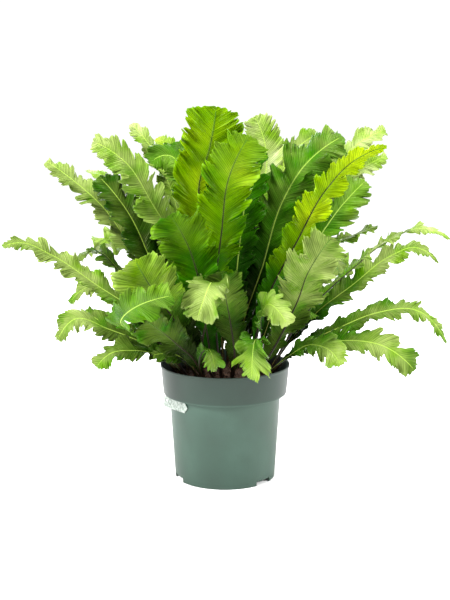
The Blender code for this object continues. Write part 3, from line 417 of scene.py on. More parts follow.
class Frond:
    """A frond's rib and blade, in centimetres, as a function of place along and across."""

    def __init__(self, rib, half_width, blunt, lobe_cut, frill, show, tip_turn, bare, number):
        self.half_width = half_width
        self.blunt = blunt
        self.lobe_cut = lobe_cut
        self.frill = frill
        self.number = number
        self.spine, self.length = smooth_line(rib)
        self.start = max(bare, START_MARGIN * STEM_STRAIGHT / self.length)
        self.rows = FEWEST_ROWS + int(round(self.length * (1 - self.start) / ROW_SPACING))
        self.tangent = unit(np.gradient(self.spine, axis=0))
        self.top = self.tops((rib[-1] - rib[0]) * (1, 1, 0), show, tip_turn)

    def tops(self, outward, show, tip_turn):
        """The blade's top side at each sample of the rib.

        It starts square to the stem on the side away from the frond's heading, and is carried along the
        rib without twist. Then it turns about the rib, by a smooth step, until it shows the front the
        side that it should, and by the square of the place along the rib to its tip's own turn.
        """
        heading = unit(outward)
        first = self.tangent[0]
        top = unit(np.array([0, 0, 1.0]) * (first @ heading) - heading * first[2])
        found = []
        for tangent in self.tangent:
            top = unit(top - tangent * (top @ tangent))
            found.append(top)
        found = np.array(found)
        sides = np.cross(self.tangent, found)
        middle = int(SQUARE_SHARE * RIB_SAMPLES)
        front = np.array([0.0, -1.0, 0.0]) * (1 if show > 0 else -1)
        squarely = math.atan2(front @ sides[middle], front @ found[middle])
        u = np.linspace(0.0, 1.0, RIB_SAMPLES)
        turn = (squarely * abs(show) * smoothstep(u / TURN_END) + math.radians(tip_turn) * u ** 2)[:, None]
        return found * np.cos(turn) + sides * np.sin(turn)

    def along(self, u):
        """Place, tangent, top side and right-hand side at u along the rib, straight on past the tip."""
        at = np.clip(u, 0.0, 1.0) * (RIB_SAMPLES - 1)
        low = np.clip(at.astype(int), 0, RIB_SAMPLES - 2)
        part = (at - low)[..., None]
        place, tangent, top = (line[low] * (1 - part) + line[low + 1] * part
                               for line in (self.spine, self.tangent, self.top))
        tangent, top = unit(tangent), unit(top)
        place = place + tangent * (np.maximum(u - 1.0, 0.0) * self.length)[..., None]
        return place, tangent, top, np.cross(tangent, top)

    def lean(self, u):
        """Angle between a vein and the rib, in radians: it falls evenly from foot to tip."""
        return np.radians(between(LEAN, u))

    def reach(self, u):
        """Length of a vein: a narrow wing by the stem, widest two thirds up, closing round the tip.

        Near the tip, no vein ends farther ahead than the tip less a rounding times the square of how
        far out it ends, over the blade's half width. The positive root of that gives its length.
        """
        part = np.clip((u - self.start) / (1 - self.start), 0.0, 1.0)
        peak = VEIN_POWER / (VEIN_POWER + self.blunt)
        most = peak ** VEIN_POWER * (1 - peak) ** self.blunt
        leaf = part ** VEIN_POWER * (1 - part) ** self.blunt / most
        length = (self.half_width * VEIN_STRETCH - STEM_HALF) * leaf
        lean = self.lean(u)
        square = TIP_ROUNDING * np.sin(lean) ** 2 / self.half_width
        left = np.clip(1 - u, 0.0, 1.0) * self.length
        most = (np.sqrt(np.cos(lean) ** 2 + 4 * square * left) - np.cos(lean)) / (2 * square)
        return STEM_HALF + np.minimum(length, most)

    def lobes(self, u, side):
        """Place among the cuts between lobes, a whole even number at a cut, left and right by turns; a
        chance value of the nearest cut; and how far the cuts have faded in from the stem and the tip."""
        place = (u - self.start) / (1 - self.start) * (self.rows - 1)
        if side > 0:
            place = place + 1.0
        chance = (2.0 * np.round(place / 2.0) * GOLDEN + self.number * LOBE_STEP) % 1.0
        fade = np.clip((u - self.start) * FADE_FOOT, 0, 1) * np.clip((FADE_END - u) * FADE_TIP, 0, 1)
        return place, chance, fade

    def margin(self, u, side):
        """Share of a vein that the margin leaves: one less a cut, which is a power of a raised cosine."""
        place, chance, fade = self.lobes(u, side)
        cut = np.clip(0.5 + 0.5 * np.cos(np.pi * place), 0, 1) ** LOBE_POWER
        return 1 - self.lobe_cut * (LOBE_LEAST + LOBE_SPREAD * chance) * fade * cut

    def fingers(self, u, side):
        """Place among the narrow cuts that part the margin in fingers, and a chance value of each finger.

        The place is a whole number at a cut. Its steps are uneven, because a slow sine is added to it.
        """
        on = u * self.length
        shift = self.number * FINGER_STEP + side * FINGER_SIDE
        place = on / FINGER_LENGTH + shift
        place = place + FINGER_UNEVEN * np.sin(on * FINGER_DRIFT + FINGER_TURN * shift)
        return place, (np.floor(place) * GOLDEN + shift) % 1.0

    def fine_margin(self, u, side):
        """Share of a vein that the lobes, the cuts between fingers and the small teeth leave.

        A lobe's cut and a finger's cut are one less the absolute value of a sine, raised to a power: the
        higher the power, the narrower the cut. A tooth is a slope that falls back at once.
        """
        on = u * self.length
        shift = self.number * TOOTH_STEP + side * TOOTH_SIDE
        place, chance, fade = self.lobes(u, side)
        lobes = self.lobe_cut * (FINE_LOBE_LEAST + FINE_LOBE_SPREAD * chance) * fade
        lobes = lobes * (1 - np.abs(np.sin(np.pi * place / 2))) ** FINE_LOBE_POWER
        place, _ = self.fingers(u, side)
        deep = (np.round(place) * GOLDEN * FINGER_DRAWS + shift) % 1.0
        cuts = FINGER_SHARE * deep ** FINGER_DEPTH_POWER * (FINGER_LEAST + FINGER_BY_LOBE * self.lobe_cut)
        cuts = cuts * fade * (1 - np.abs(np.sin(np.pi * place))) ** FINGER_POWER
        place = on / TOOTH_LENGTH + shift + TOOTH_UNEVEN * np.sin(on * TOOTH_DRIFT + shift)
        tooth = (np.floor(place) * GOLDEN + shift) % 1.0
        teeth = TOOTH_DEPTH * (TOOTH_LEAST + tooth) * (1 - place % 1.0) ** TOOTH_POWER
        grown = np.clip((u - self.start) * TOOTH_GROWTH, 0, 1)
        return 1 - lobes - cuts - grown * np.minimum(teeth / self.reach(u), TOOTH_MOST)

    def ruffles(self, u, side):
        """Radians that the fine margin swings: short waves whose pace wanders, and a lift of each finger."""
        on = u * self.length
        phase = self.number * WAVE_STEP + side * WAVE_SIDE
        wander = RUFFLE_UNEVEN * np.sin(on * RUFFLE_DRIFT + phase)
        swing = RUFFLE_SWING * np.sin(math.tau * on / RUFFLE_LENGTH + 2 * phase + wander)
        swing = swing + FINGER_LIFT * (self.fingers(u, side)[1] - 0.5)
        crumpled = TENDER_RUFFLE if self.number in TENDER else 1.0
        return swing * self.full(u) * self.frill / RUFFLE_FRILL * crumpled

    def pleats(self, u, share):
        """Rise of the low folds between rib and margin: a sine along the rib times one across."""
        on = u * self.length
        wave = np.sin(math.tau * on / PLEAT_LENGTH + PLEAT_UNEVEN * np.sin(on * PLEAT_DRIFT))
        across = np.sin(np.pi * np.clip(share * PLEAT_END, 0, 1))
        return (wave * PLEAT_RISE * self.full(u))[:, None] * across

    def full(self, u):
        """How fully a vein waves: evenly more with its length, up to a full wave."""
        return np.clip(self.reach(u) / WAVE_FULL, 0, 1)

    def surface(self, u, side, fine=False):
        """Points from the rib to the margin along the veins at u, on one side of the rib.

        A vein is a chain of even steps. The slope of each is the cup, less a droop that grows with the
        way out, plus a wave along the rib that grows as much. The fine surface also has ruffles, which
        grow with the square of the way out, and pleats.
        """
        share = (np.arange(VEIN_STEPS) + 0.5) / VEIN_STEPS
        lean = self.lean(u)
        cup = np.radians(between(CUP, u))
        reach = self.reach(u) * (self.fine_margin(u, side) if fine else self.margin(u, side))
        phase = self.number * WAVE_STEP + side * WAVE_SIDE
        wave = np.sin(math.tau * u * self.length / WAVE_LENGTH + phase)
        swing = self.frill * WAVE_SWING * self.full(u)
        slope = cup[:, None] - VEIN_DROOP * share + (swing * wave)[:, None] * share
        if fine:
            slope = slope + self.ruffles(u, side)[:, None] * share ** 2
        step = (reach / VEIN_STEPS)[:, None]
        out = np.cumsum(np.cos(slope) * step, axis=1) * np.sin(lean)[:, None]
        rise = np.cumsum(np.sin(slope) * step, axis=1)
        if fine:
            rise = rise + self.pleats(u, share)
        ahead = (share + 0.5 / VEIN_STEPS) * (reach * np.cos(lean))[:, None]
        place, _, top, right = self.along(u[:, None] + ahead / self.length)
        edge = place + right * (side * out)[..., None] + top * rise[..., None]
        return np.concatenate([self.along(u)[0][:, None], edge], axis=1)

    def solid_box(self):
        """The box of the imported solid: its rows of points on the rib's two sides and round both margins."""
        stem = np.array([0.0, STEM_STRAIGHT / self.length])
        u = np.concatenate([stem, np.linspace(self.start, 1.0, self.rows)])
        centre, tangent, top, _ = self.along(u)
        bare = np.clip(1 - (u - self.start) * EDGE_THINNING, 0, 1)
        edge = between((BLADE_EDGE, STEM_EDGE), bare)[:, None] / 2
        points = [centre + top * between(RIDGE, u)[:, None], centre - top * between(KEEL, u)[:, None]]
        for side in (-1, 1):
            rim = self.surface(u, side)[:, -1]
            normal = unit(np.cross(unit(rim - centre), tangent) * side)
            points += [rim + normal * edge, rim - normal * edge]
        points = np.concatenate(points)
        return np.concatenate([points.min(axis=0), points.max(axis=0)])


def rib_toward(degrees, rib, stretch=1.0):
    """A rib of (radius, height) points, stretched and turned to a heading in degrees from +X."""
    heading = math.radians(degrees)
    return tuple((r * stretch * math.cos(heading), r * stretch * math.sin(heading), z) for r, z in rib)


def frond_rows():
    """Every frond's row, those seen from the front and then those that a rule sets round the back."""
    rows = list(FRONT_FRONDS)
    for i in range(BACK_FRONDS):
        low = i % 2 == 0
        stretch = BACK_LEAST + BACK_SPREAD * ((i * GOLDEN) % 1.0)
        heading = between(BACK_HEADINGS, i / (BACK_FRONDS - 1))
        rib = rib_toward(heading, LOW_RIB if low else HIGH_RIB, stretch)
        twist = BACK_TWIST if i % 3 else -BACK_TWIST
        rows.append((rib, LOW_WIDTH if low else HIGH_WIDTH, *BACK_SHAPE, twist, BARE_SHARE))
    for heading, rib in YOUNG_FRONDS:
        rows.append((rib_toward(heading, rib), YOUNG_WIDTH, *BACK_SHAPE, 0, BARE_SHARE))
    return rows


def crown_height(radius):
    """Height of the crown's top at a radius: its middle less a power of the radius."""
    return CROWN_TOP - CROWN_FALL * (radius / CROWN_RADIUS) ** CROWN_POWER


def root_places(rows):
    """A root for each rib, on the line to its first point, pushed apart until none stand too close."""
    spots = np.array([row[0][0][:2] for row in rows], float) * ROOT_SHARE
    for _ in range(ROOT_ROUNDS):
        away = spots[:, None] - spots[None]
        gap = np.linalg.norm(away, axis=2)
        close = (gap < ROOT_SPACING) & (gap > 0)
        push = np.where(close, (ROOT_SPACING - gap) / 2 / np.maximum(gap, TINY), 0.0)
        spots = spots + (away * push[..., None]).sum(axis=1) * ROOT_EASE
        far = np.linalg.norm(spots, axis=1, keepdims=True)
        spots = spots * np.minimum(1.0, ROOT_REACH / np.maximum(far, TINY))
    return np.column_stack([spots, crown_height(np.linalg.norm(spots, axis=1)) - SOCKET_DEPTH])


def bends():
    """Shifts of a frond's tip (x, y, z) in centimetres with a share of its width, the least first.

    How much a bend is, is the sum of its absolute shifts and of the width that it takes, each at its cost.
    """
    found = []
    for deep in BEND_STEPS:
        for across in BEND_STEPS[:ACROSS_STEPS]:
            for up in BEND_STEPS[:UP_STEPS]:
                for width in BEND_WIDTHS:
                    cost = abs(deep) + ACROSS_COST * abs(across) + UP_COST * abs(up)
                    cost += WIDTH_COST * (1 - width)
                    found.append((cost, (across, deep, up - SIGHT_SLOPE * deep), width))
    return [(shift, width) for _, shift, width in sorted(found)]


def bent(row, root, shift, width, number):
    """The frond of one row, its tip moved by a shift that lessens to nothing at its root."""
    rib = np.vstack([root, row[0]])
    knots = way_along(rib)
    weight = (knots / knots[-1]) ** BEND_POWER
    return Frond(rib + np.outer(weight, shift), row[1] * width, *row[2:], number)


def packed_fronds():
    """Every frond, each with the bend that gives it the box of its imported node."""
    rows = frond_rows()
    for number, (row, root) in enumerate(zip(rows, root_places(rows)), 1):
        low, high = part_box(f"frond_{number:02d}")
        wanted = np.array([*low, *high]) / CM
        for shift, width in bends():
            frond = bent(row, root, shift, width, number)
            if np.abs(frond.solid_box() - wanted).max() < BOX_MATCH:
                yield frond
                break
        else:
            raise ValueError(f"no bend gives frond_{number:02d} its packed box")


def grid_uv(u, length, across):
    """UV of a grid of points: centimetres along the rib, and the place across it."""
    return np.stack(np.broadcast_arrays((u * length)[:, None], across[None]), axis=2).reshape(-1, 2)


def blade_mesh(frond, spacing):
    """The blade as a thin closed shell: points, quads, their slots, UV and place along the rib.

    Both halves' veins make one sheet. It is moved half the thickness to either side, and a wall of quads
    joins the two round the margin.
    """
    first = frond.start * BLADE_FROM
    rows = max(FEWEST_FINE_ROWS, int(frond.length * (1 - first) / spacing))
    u = np.linspace(first, 1.0, rows)
    left = frond.surface(u, -1, fine=True)[:, ::-1]
    right = frond.surface(u, 1, fine=True)[:, 1:]
    sheet = np.concatenate([left, right], axis=1)
    columns = sheet.shape[1]
    normal = unit(np.cross(np.gradient(sheet, axis=1), np.gradient(sheet, axis=0)))
    points = np.concatenate([(sheet + normal * BLADE_THICKNESS / 2).reshape(-1, 3),
                             (sheet - normal * BLADE_THICKNESS / 2).reshape(-1, 3)])
    half = rows * columns
    top = quad_sheet(rows, columns)
    low = quad_sheet(rows, columns, half, flip=True)
    index = np.arange(half).reshape(rows, columns)
    loop = np.concatenate([index[0], index[1:, -1], index[-1, -2::-1], index[-2:0:-1, 0]])
    after = np.roll(loop, -1)
    wall = np.stack([loop, loop + half, after + half, after], axis=1)
    quads = np.concatenate([top, low, wall])
    kinds = np.concatenate([np.full(len(top), UPPER_SIDE), np.full(len(low), UNDERSIDE),
                            np.full(len(wall), UPPER_SIDE)])
    uv = grid_uv(u, frond.length, np.linspace(-1.0, 1.0, columns))
    return points, quads, kinds, np.tile(uv, (2, 1)), np.tile(np.repeat(u, columns), 2)


def rib_mesh(frond):
    """The rib as a tube carried along its curve, with points, quads, slots, UV and place along the rib.

    Its section is two half ellipses, a deep one beneath the blade and a low one above, and both dwindle
    to the tip.
    """
    rows = max(FEWEST_RIB_ROWS, int(frond.length / RIB_SPACING))
    u = np.linspace(0.0, RIB_END, rows)
    centre, _, top, right = frond.along(u)
    turn = np.linspace(0.0, math.tau, RIB_SIDES + 1)
    wide = between(RIB_HALF, u ** RIB_TAPER)
    deep = between(KEEL, u) * KEEL_SHARE
    high = between(RIDGE, u) * RIDGE_SHARE
    lift = np.where(np.sin(turn)[None] > 0, high[:, None], deep[:, None]) * np.sin(turn)[None]
    over = wide[:, None] * np.cos(turn)[None]
    points = centre[:, None] + right[:, None] * over[..., None] + top[:, None] * lift[..., None]
    quads = quad_sheet(rows, RIB_SIDES + 1, flip=True)
    under = np.sin((turn[:-1] + turn[1:]) / 2) < 0
    kinds = np.where(np.tile(under, rows - 1), RIB_BENEATH, RIB_ABOVE)
    uv = grid_uv(u, frond.length, turn)
    return points.reshape(-1, 3), quads, kinds, uv, np.repeat(u, RIB_SIDES + 1)


# Skins of the leaves and ribs. A leaf's skin is waxy over living green: satin where it is grown, glossy
# where it is tender, and greyer where it has grown old. Painted light makes the leaves far from the pot's
# axis brighter and paler, painted shade darkens the stalks toward the crown, and painted sheen whitens
# glossy tips.
FRESH_GREENS = ((0.0, "061c00"), (0.25, "103b00"), (0.5, "2c6300"), (0.75, "608600"), (1.0, "97ad0a"))
# The grey ramp's dark stops are older grey-olive leaf; its pale upper stops are painted sheen, the whitish
# highlight of glossy crests.
GREY_GREENS_AND_SHEEN = ((0.0, "152406"), (0.25, "2a3e0c"), (0.5, "4d6420"), (0.75, "869750"), (1.0, "c2c69e"))
STREAK_GREEN, VEIN_GREEN, RIB_LINE_GREEN = "7f9a50", "5c7838", "8f9a5a"
WAX_GLINT = "e8f0a0"
PATCH_WIDTH = 1000 / 14  # millimetres across a patch of one tone
TONE_SWING = 0.4
BLOOM_WIDTH = 1000 / 34  # millimetres across a patch of dull bloom
BLOOM_SWING = 4.0
SKIN_GRAIN = 6.25  # millimetres; the real cells are far finer, and this is as coarse as it must be to show
STREAK_WIDTH = 10 / 4.5  # millimetres along the rib
STREAK_BREAKS = 0.8  # how many times a streak changes between the rib and the margin
STREAK_CONTRAST, STREAK_CUT = 2.4, 0.7
STREAK_SHADE, VEIN_SHADE = 0.42, 0.55
VEIN_SPACING = 3.3  # millimetres between veins
VEIN_WANDER = 1.5
VEIN_SHARPNESS = 8.0
VEIN_SUNK, GRAIN_PROUD = 0.45, 0.35
LEAF_RELIEF, LEAF_RELIEF_DEPTH = 0.7, 0.0011
RIB_LINE_WIDTH = 0.07  # as a share of the half blade
LEAF_ROUGH_LEAST, LEAF_ROUGH_SPREAD = 0.14, 0.26
GROWN_GLOSS = 0.06
TENDER_GLOSS, TENDER_GLOSS_BENEATH = 0.22, 0.14
TENDER_VEINED = 0.45
ABOVE_LINE, BENEATH_LINE, TENDER_BENEATH_LINE = 0.25, 0.15, 0.5  # how clearly a pale line edges the rib
RIB_GREENS = ((0.0, "3a2812"), (0.25, "56591f"), (0.5, "86a03c"), (1.0, "8db032"))
RIB_BROWNS = ((0.0, "150c07"), (0.66, "1a1008"), (0.82, "2a3a0a"), (1.0, "3a6a0c"))
RIB_MOTTLE_WIDTH = 1000 / 90  # millimetres
RIB_MOTTLE = 0.08
RIB_ROUGHNESS = 0.4
RIB_GLOSS = 0.15

# How each front frond looks where the photograph shows it: how bright its green is at its foot and at
# its tip (0 is dark, 1 is yellow-green), and how far it fades to grey-olive and white there. Besides the
# leaf's own green, the brightness holds painted light and shade as each frond is lit, and the white holds
# painted sheen. Below 0, the fading stays away even where the painted side light pales the leaf.
FRONT_LOOKS = (
    (0.24, 0.66, 1.0, 0.0), (0.54, 0.66, 0.0, 0.0), (0.58, 0.76, 0.0, 0.0), (0.48, 0.56, 0.0, 0.0),
    (0.22, 0.48, 0.0, 0.4), (0.54, 0.78, -0.3, -0.3), (0.47, 0.6, 0.8, 0.75), (0.38, 0.5, 0.0, 0.0),
    (0.38, 0.47, 0.7, 0.95), (0.56, 0.7, 0.1, 0.25), (0.5, 0.6, 0.1, 0.4), (0.46, 0.52, 0.4, 0.4),
    (0.42, 0.5, 0.2, 0.6), (0.37, 0.44, 0.3, 0.45), (0.4, 0.47, 0.4, 0.4), (0.54, 0.62, 0.5, 0.7),
    (0.6, 0.64, 0.1, 0.5), (0.4, 0.5, 0.9, 0.9), (0.3, 0.56, 0.5, 0.9), (0.26, 0.3, 0.75, 0.6),
    (0.2, 0.42, 0.1, 0.0), (0.3, 0.68, 0.1, 0.7), (0.52, 0.52, 0.1, 0.3), (0.34, 0.5, 0.1, 0.1),
    (0.36, 0.46, 0.8, 0.6), (0.5, 0.64, 0.3, 0.3), (0.45, 0.52, 0.6, 0.6), (0.52, 0.6, 0.3, 0.3),
    (0.34, 0.44, 0.8, 0.8), (0.42, 0.52, 0.7, 0.7), (0.4, 0.62, 0.15, 0.3), (0.42, 0.55, 0.2, 0.5),
    (0.36, 0.66, 0.1, 0.5), (0.3, 0.5, 0.1, 0.1), (0.34, 0.5, 0.3, 0.3), (0.4, 0.74, 0.0, 0.1),
    (0.46, 0.72, 0.1, 0.5), (0.4, 0.45, 0.5, 0.5), (0.42, 0.52, 0.85, 0.75), (0.54, 0.68, 0.2, 0.2),
    (0.36, 0.3, 1.0, 0.95),
)
BACK_LOOK = (0.34, 0.6, 0.15, 0.35)
LOOK_FROM, LOOK_OVER = 0.3, 0.4  # the foot's look gives way to the tip's from here, and over this share
FOOT_PAINTED_SHADE, FOOT_LENGTH = 0.5, 18.0  # painted shade, and partly a stalk's own darker foot: darker toward the crown along its lowest stretch
# Painted light: leaves far from the pot's axis are brightened and paled, for the studio light round the sides.
PAINTED_LIGHT_FROM, PAINTED_LIGHT_WIDTH = 11.0, 13.0  # where the painted light begins, from the pot's axis, and is full
PAINTED_LIGHT_TONE, PAINTED_LIGHT_PALING = 0.12, 0.3


def node(made, kind, settings=None, inputs=None, output=0):
    """Adds a node with its settings, and its inputs as values or links; gives one of its outputs.

    The setting "stops" gives a colour ramp its places and sRGB hex values.
    """
    added = made.node_tree.nodes.new("ShaderNode" + kind)
    for key, value in (settings or {}).items():
        if key != "stops":
            setattr(added, key, value)
            continue
        marks = added.color_ramp.elements
        while len(marks) < len(value):
            marks.new(0.5)
        for mark, (place, code) in zip(marks, value):
            mark.position = place
            mark.color = linear(code)
    feed(made, added, inputs or {})
    return added.outputs[output]


def per_metre(width):
    """The scale of a noise whose cells are so many millimetres wide."""
    return 1000.0 / width


def leaf_material(name, rib_line, gloss, veined=1.0):
    """Living leaf under thin wax: a soft yellow-green sheen over streaks, veins and patches of tone.

    The frond's tone, swung by patches, picks a green from a fresh ramp and from a grey-olive one, and its
    dullness, swung by bloom, mixes the two; the grey ramp's pale end is partly painted sheen. Streaks are
    noise drawn out along the veins. A vein is a power of the absolute value of a sine of the place along
    the rib, pushed aside by the streaks. Both darken the colour, and veins sink in the bump. Beside the rib
    a pale line lessens evenly outward.
    """
    made, shader = new_material(name)
    point = node(made, "TexCoord", output="Object")
    patch = node(made, "TexNoise",
                 inputs={"Vector": point, "Scale": per_metre(PATCH_WIDTH), "Detail": 3.0})
    bloom = node(made, "TexNoise",
                 inputs={"Vector": point, "Scale": per_metre(BLOOM_WIDTH), "Detail": 2.0})
    grain = node(made, "TexNoise",
                 inputs={"Vector": point, "Scale": per_metre(SKIN_GRAIN), "Detail": 2.0})

    tone = node(made, "Attribute", {"attribute_name": "tone"}, output="Fac")
    swing = node(made, "Math", {"operation": "MULTIPLY_ADD"},
                 {0: patch, 1: 2 * TONE_SWING, 2: -TONE_SWING})
    tone = node(made, "Math", {"operation": "ADD", "use_clamp": True}, {0: tone, 1: swing})
    # Dullness mixes in the grey ramp: older grey-olive leaf, and painted sheen that whitens glossy tips.
    dull = node(made, "Attribute", {"attribute_name": "dull"}, output="Fac")
    swing = node(made, "Math", {"operation": "MULTIPLY_ADD"},
                 {0: bloom, 1: BLOOM_SWING, 2: 1 - BLOOM_SWING / 2})
    dull = node(made, "Math", {"operation": "MULTIPLY", "use_clamp": True}, {0: dull, 1: swing})
    fresh = node(made, "ValToRGB", {"stops": FRESH_GREENS}, {"Fac": tone})
    grey = node(made, "ValToRGB", {"stops": GREY_GREENS_AND_SHEEN}, {"Fac": tone})
    colour = node(made, "Mix", {"data_type": "RGBA"}, {0: dull, 6: fresh, 7: grey}, 2)

    veins = node(made, "UVMap", {"uv_map": "vein"})
    along = node(made, "SeparateXYZ", inputs={"Vector": veins}, output="X")
    across = node(made, "SeparateXYZ", inputs={"Vector": veins}, output="Y")
    drawn = node(made, "Mapping",
                 inputs={"Vector": veins, "Scale": (10 / STREAK_WIDTH, STREAK_BREAKS, 1.0)})
    streak = node(made, "TexNoise", inputs={"Vector": drawn, "Scale": 1.0, "Detail": 2.0})
    streak = node(made, "Math", {"operation": "MULTIPLY_ADD", "use_clamp": True},
                  {0: streak, 1: STREAK_CONTRAST, 2: -STREAK_CUT})
    turn = node(made, "Math", {"operation": "MULTIPLY"}, {0: along, 1: 10 * math.pi / VEIN_SPACING})
    turn = node(made, "Math", {"operation": "MULTIPLY_ADD"}, {0: streak, 1: VEIN_WANDER, 2: turn})
    vein = node(made, "Math", {"operation": "SINE"}, {0: turn})
    vein = node(made, "Math", {"operation": "ABSOLUTE"}, {0: vein})
    vein = node(made, "Math", {"operation": "POWER"}, {0: vein, 1: VEIN_SHARPNESS})
    beside = node(made, "Math", {"operation": "ABSOLUTE"}, {0: across})
    beside = node(made, "Math", {"operation": "DIVIDE"}, {0: beside, 1: RIB_LINE_WIDTH})
    beside = node(made, "Math", {"operation": "SUBTRACT", "use_clamp": True}, {0: 1.0, 1: beside})
    for mask, most, code, blend in ((streak, STREAK_SHADE * veined, STREAK_GREEN, "MULTIPLY"),
                                    (vein, VEIN_SHADE * veined, VEIN_GREEN, "MULTIPLY"),
                                    (beside, rib_line, RIB_LINE_GREEN, "MIX")):
        share = node(made, "Math", {"operation": "MULTIPLY"}, {0: mask, 1: most})
        colour = node(made, "Mix", {"data_type": "RGBA", "blend_type": blend},
                      {0: share, 6: colour, 7: linear(code)}, 2)

    height = node(made, "Math", {"operation": "MULTIPLY_ADD"}, {0: grain, 1: GRAIN_PROUD, 2: streak})
    height = node(made, "Math", {"operation": "MULTIPLY_ADD"}, {0: vein, 1: -VEIN_SUNK, 2: height})
    bump = node(made, "Bump",
                inputs={"Height": height, "Strength": LEAF_RELIEF, "Distance": LEAF_RELIEF_DEPTH})
    rough = node(made, "Math", {"operation": "MULTIPLY_ADD"},
                 {0: patch, 1: LEAF_ROUGH_SPREAD, 2: LEAF_ROUGH_LEAST})
    feed(made, shader, {"Base Color": colour, "Normal": bump, "Roughness": rough,
                        "Specular IOR Level": gloss, "Specular Tint": linear(WAX_GLINT)})
    return made


def rib_material(name, stops):
    """Hard smooth stalk, near black at its foot and green at its tip, with a dull gleam: colours by place
    along the rib, pushed to and fro by a mottle."""
    made, shader = new_material(name)
    point = node(made, "TexCoord", output="Object")
    mottle = node(made, "TexNoise", inputs={"Vector": point, "Scale": per_metre(RIB_MOTTLE_WIDTH)})
    along = node(made, "Attribute", {"attribute_name": "along"}, output="Fac")
    swing = node(made, "Math", {"operation": "MULTIPLY_ADD"},
                 {0: mottle, 1: 2 * RIB_MOTTLE, 2: -RIB_MOTTLE})
    along = node(made, "Math", {"operation": "ADD", "use_clamp": True}, {0: along, 1: swing})
    colour = node(made, "ValToRGB", {"stops": stops}, {"Fac": along})
    feed(made, shader, {"Base Color": colour, "Roughness": RIB_ROUGHNESS, "Specular IOR Level": RIB_GLOSS})
    return made


def frond_values(frond, look, points, along):
    """Each point's tone, dullness with painted sheen, and place along the rib.

    Tone and dullness go by a smooth step from the foot's look to the tip's. The tone falls toward the
    crown, a painted shade, and both rise with the distance from the pot's axis, a painted light.
    """
    ease = smoothstep((along - LOOK_FROM) / LOOK_OVER)
    # Painted light: tone and paleness rise with the distance from the pot's axis.
    painted_side_light = np.clip((np.linalg.norm(points[:, :2], axis=1) - PAINTED_LIGHT_FROM) / PAINTED_LIGHT_WIDTH, 0, 1)
    tone = between(look[:2], ease) + PAINTED_LIGHT_TONE * painted_side_light
    # Painted shade: the tone falls toward the crown along the stalk's lowest stretch.
    tone = tone - FOOT_PAINTED_SHADE * np.clip(1 - along * frond.length / FOOT_LENGTH, 0, 1)
    dull = between(look[2:], ease) + PAINTED_LIGHT_PALING * painted_side_light
    return {"tone": tone, "dull": dull, "along": along}


def make_fronds(fronds):
    """Every frond as one piece: blade and rib, with their tones as attributes."""
    grown = [leaf_material("leaf_upper_side", ABOVE_LINE, GROWN_GLOSS),
             leaf_material("leaf_underside", BENEATH_LINE, GROWN_GLOSS)]
    ribs = [rib_material("rib_upper_side", RIB_GREENS), rib_material("rib_underside", RIB_BROWNS)]
    tender = [leaf_material("tender_leaf_upper_side", ABOVE_LINE, TENDER_GLOSS, TENDER_VEINED),
              leaf_material("tender_leaf_underside", TENDER_BENEATH_LINE, TENDER_GLOSS_BENEATH,
                            TENDER_VEINED)]
    for frond in fronds:
        shown = frond.number <= len(FRONT_LOOKS)
        look = FRONT_LOOKS[frond.number - 1] if shown else BACK_LOOK
        blade = blade_mesh(frond, FRONT_SPACING if shown else BACK_SPACING)
        points, quads, kinds, uv, along = (np.concatenate(pair) for pair in zip(blade, rib_mesh(frond)))
        quads[len(blade[1]):] += len(blade[0])
        values = frond_values(frond, look, points, along)
        skins = (tender if frond.number in TENDER else grown) + ribs
        piece = mesh_object(f"leaf_{frond.number:02d}", points * CM, quads, skins, kinds, values, uv)
        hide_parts(f"frond_{frond.number:02d}")
        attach(piece, "root")


all_fronds = list(packed_fronds())
make_fronds(all_fronds)


# Pot
# Injection-moulded polypropylene nursery pot in grey-green, matt, with a beaded rim over a wide band, a
# skirt with three notches under the floor, a hub in the middle and eight drain holes. Lengths are in
# millimetres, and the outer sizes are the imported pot's own.
MM = 0.001
POT_SIDES = 128
POT_WALL = 1.5
POT_FLOOR = (8.5, 10.5)
FOOT_RADIUS = 81.3
FLOOR_TAPER = 0.6  # how much wider the pot is at its floor than at its foot
BODY_TOP_RADIUS = 90.5
BAND_BOTTOM = 141.0
BAND_RADIUS = 100.3
BEAD_HEIGHT = 2.8
BEAD_PROUD = 0.7
BEAD_UNDERCUT = (0.3, 0.4)
EDGE_ROUNDING = 0.7
CORNER_STEPS = 4
CORNER_ROOM = 2.2  # a corner's curve takes at most the edge beside it over this
WELD = 0.01
HUB_RADIUS = 20.0
NOTCH_TURNS = (50.0, 172.0, -68.0)  # degrees round from the front
NOTCH_SIZE = (14.0, 33.0, 15.0)
DRAIN_HOLES = 8
DRAIN_RADIUS = 6.0
DRAIN_CIRCLE = 55.0
DRAIN_DEPTH = 6.0
DRAIN_SIDES = 32
SHARP_ANGLE = 40.0
POT_GREYS = ((0.3, "2d3e35"), (0.55, "31453b"), (0.75, "374c42"))
BAND_PAINTED_SHADOW_GREY, BAND_PAINTED_SHADE, BAND_FADE = "101713", 0.6, 3.0  # painted shade: the band darkens from its foot up, for the foliage's shadow on it
GRAIN_GREY, GRAIN_SHADE = "202b26", 0.12
CLOUD_WIDTH = 1000 / 14  # millimetres across a flow mark
PORE_WIDTH = 1000 / 420  # millimetres; real moulding grain is finer, and this is as coarse as it must be to show
PORE_RELIEF, PORE_DEPTH = 0.25, 0.0004
POT_ROUGH_LEAST, POT_ROUGH_SPREAD = 0.36, 0.2
POT_GLOSS = 0.22


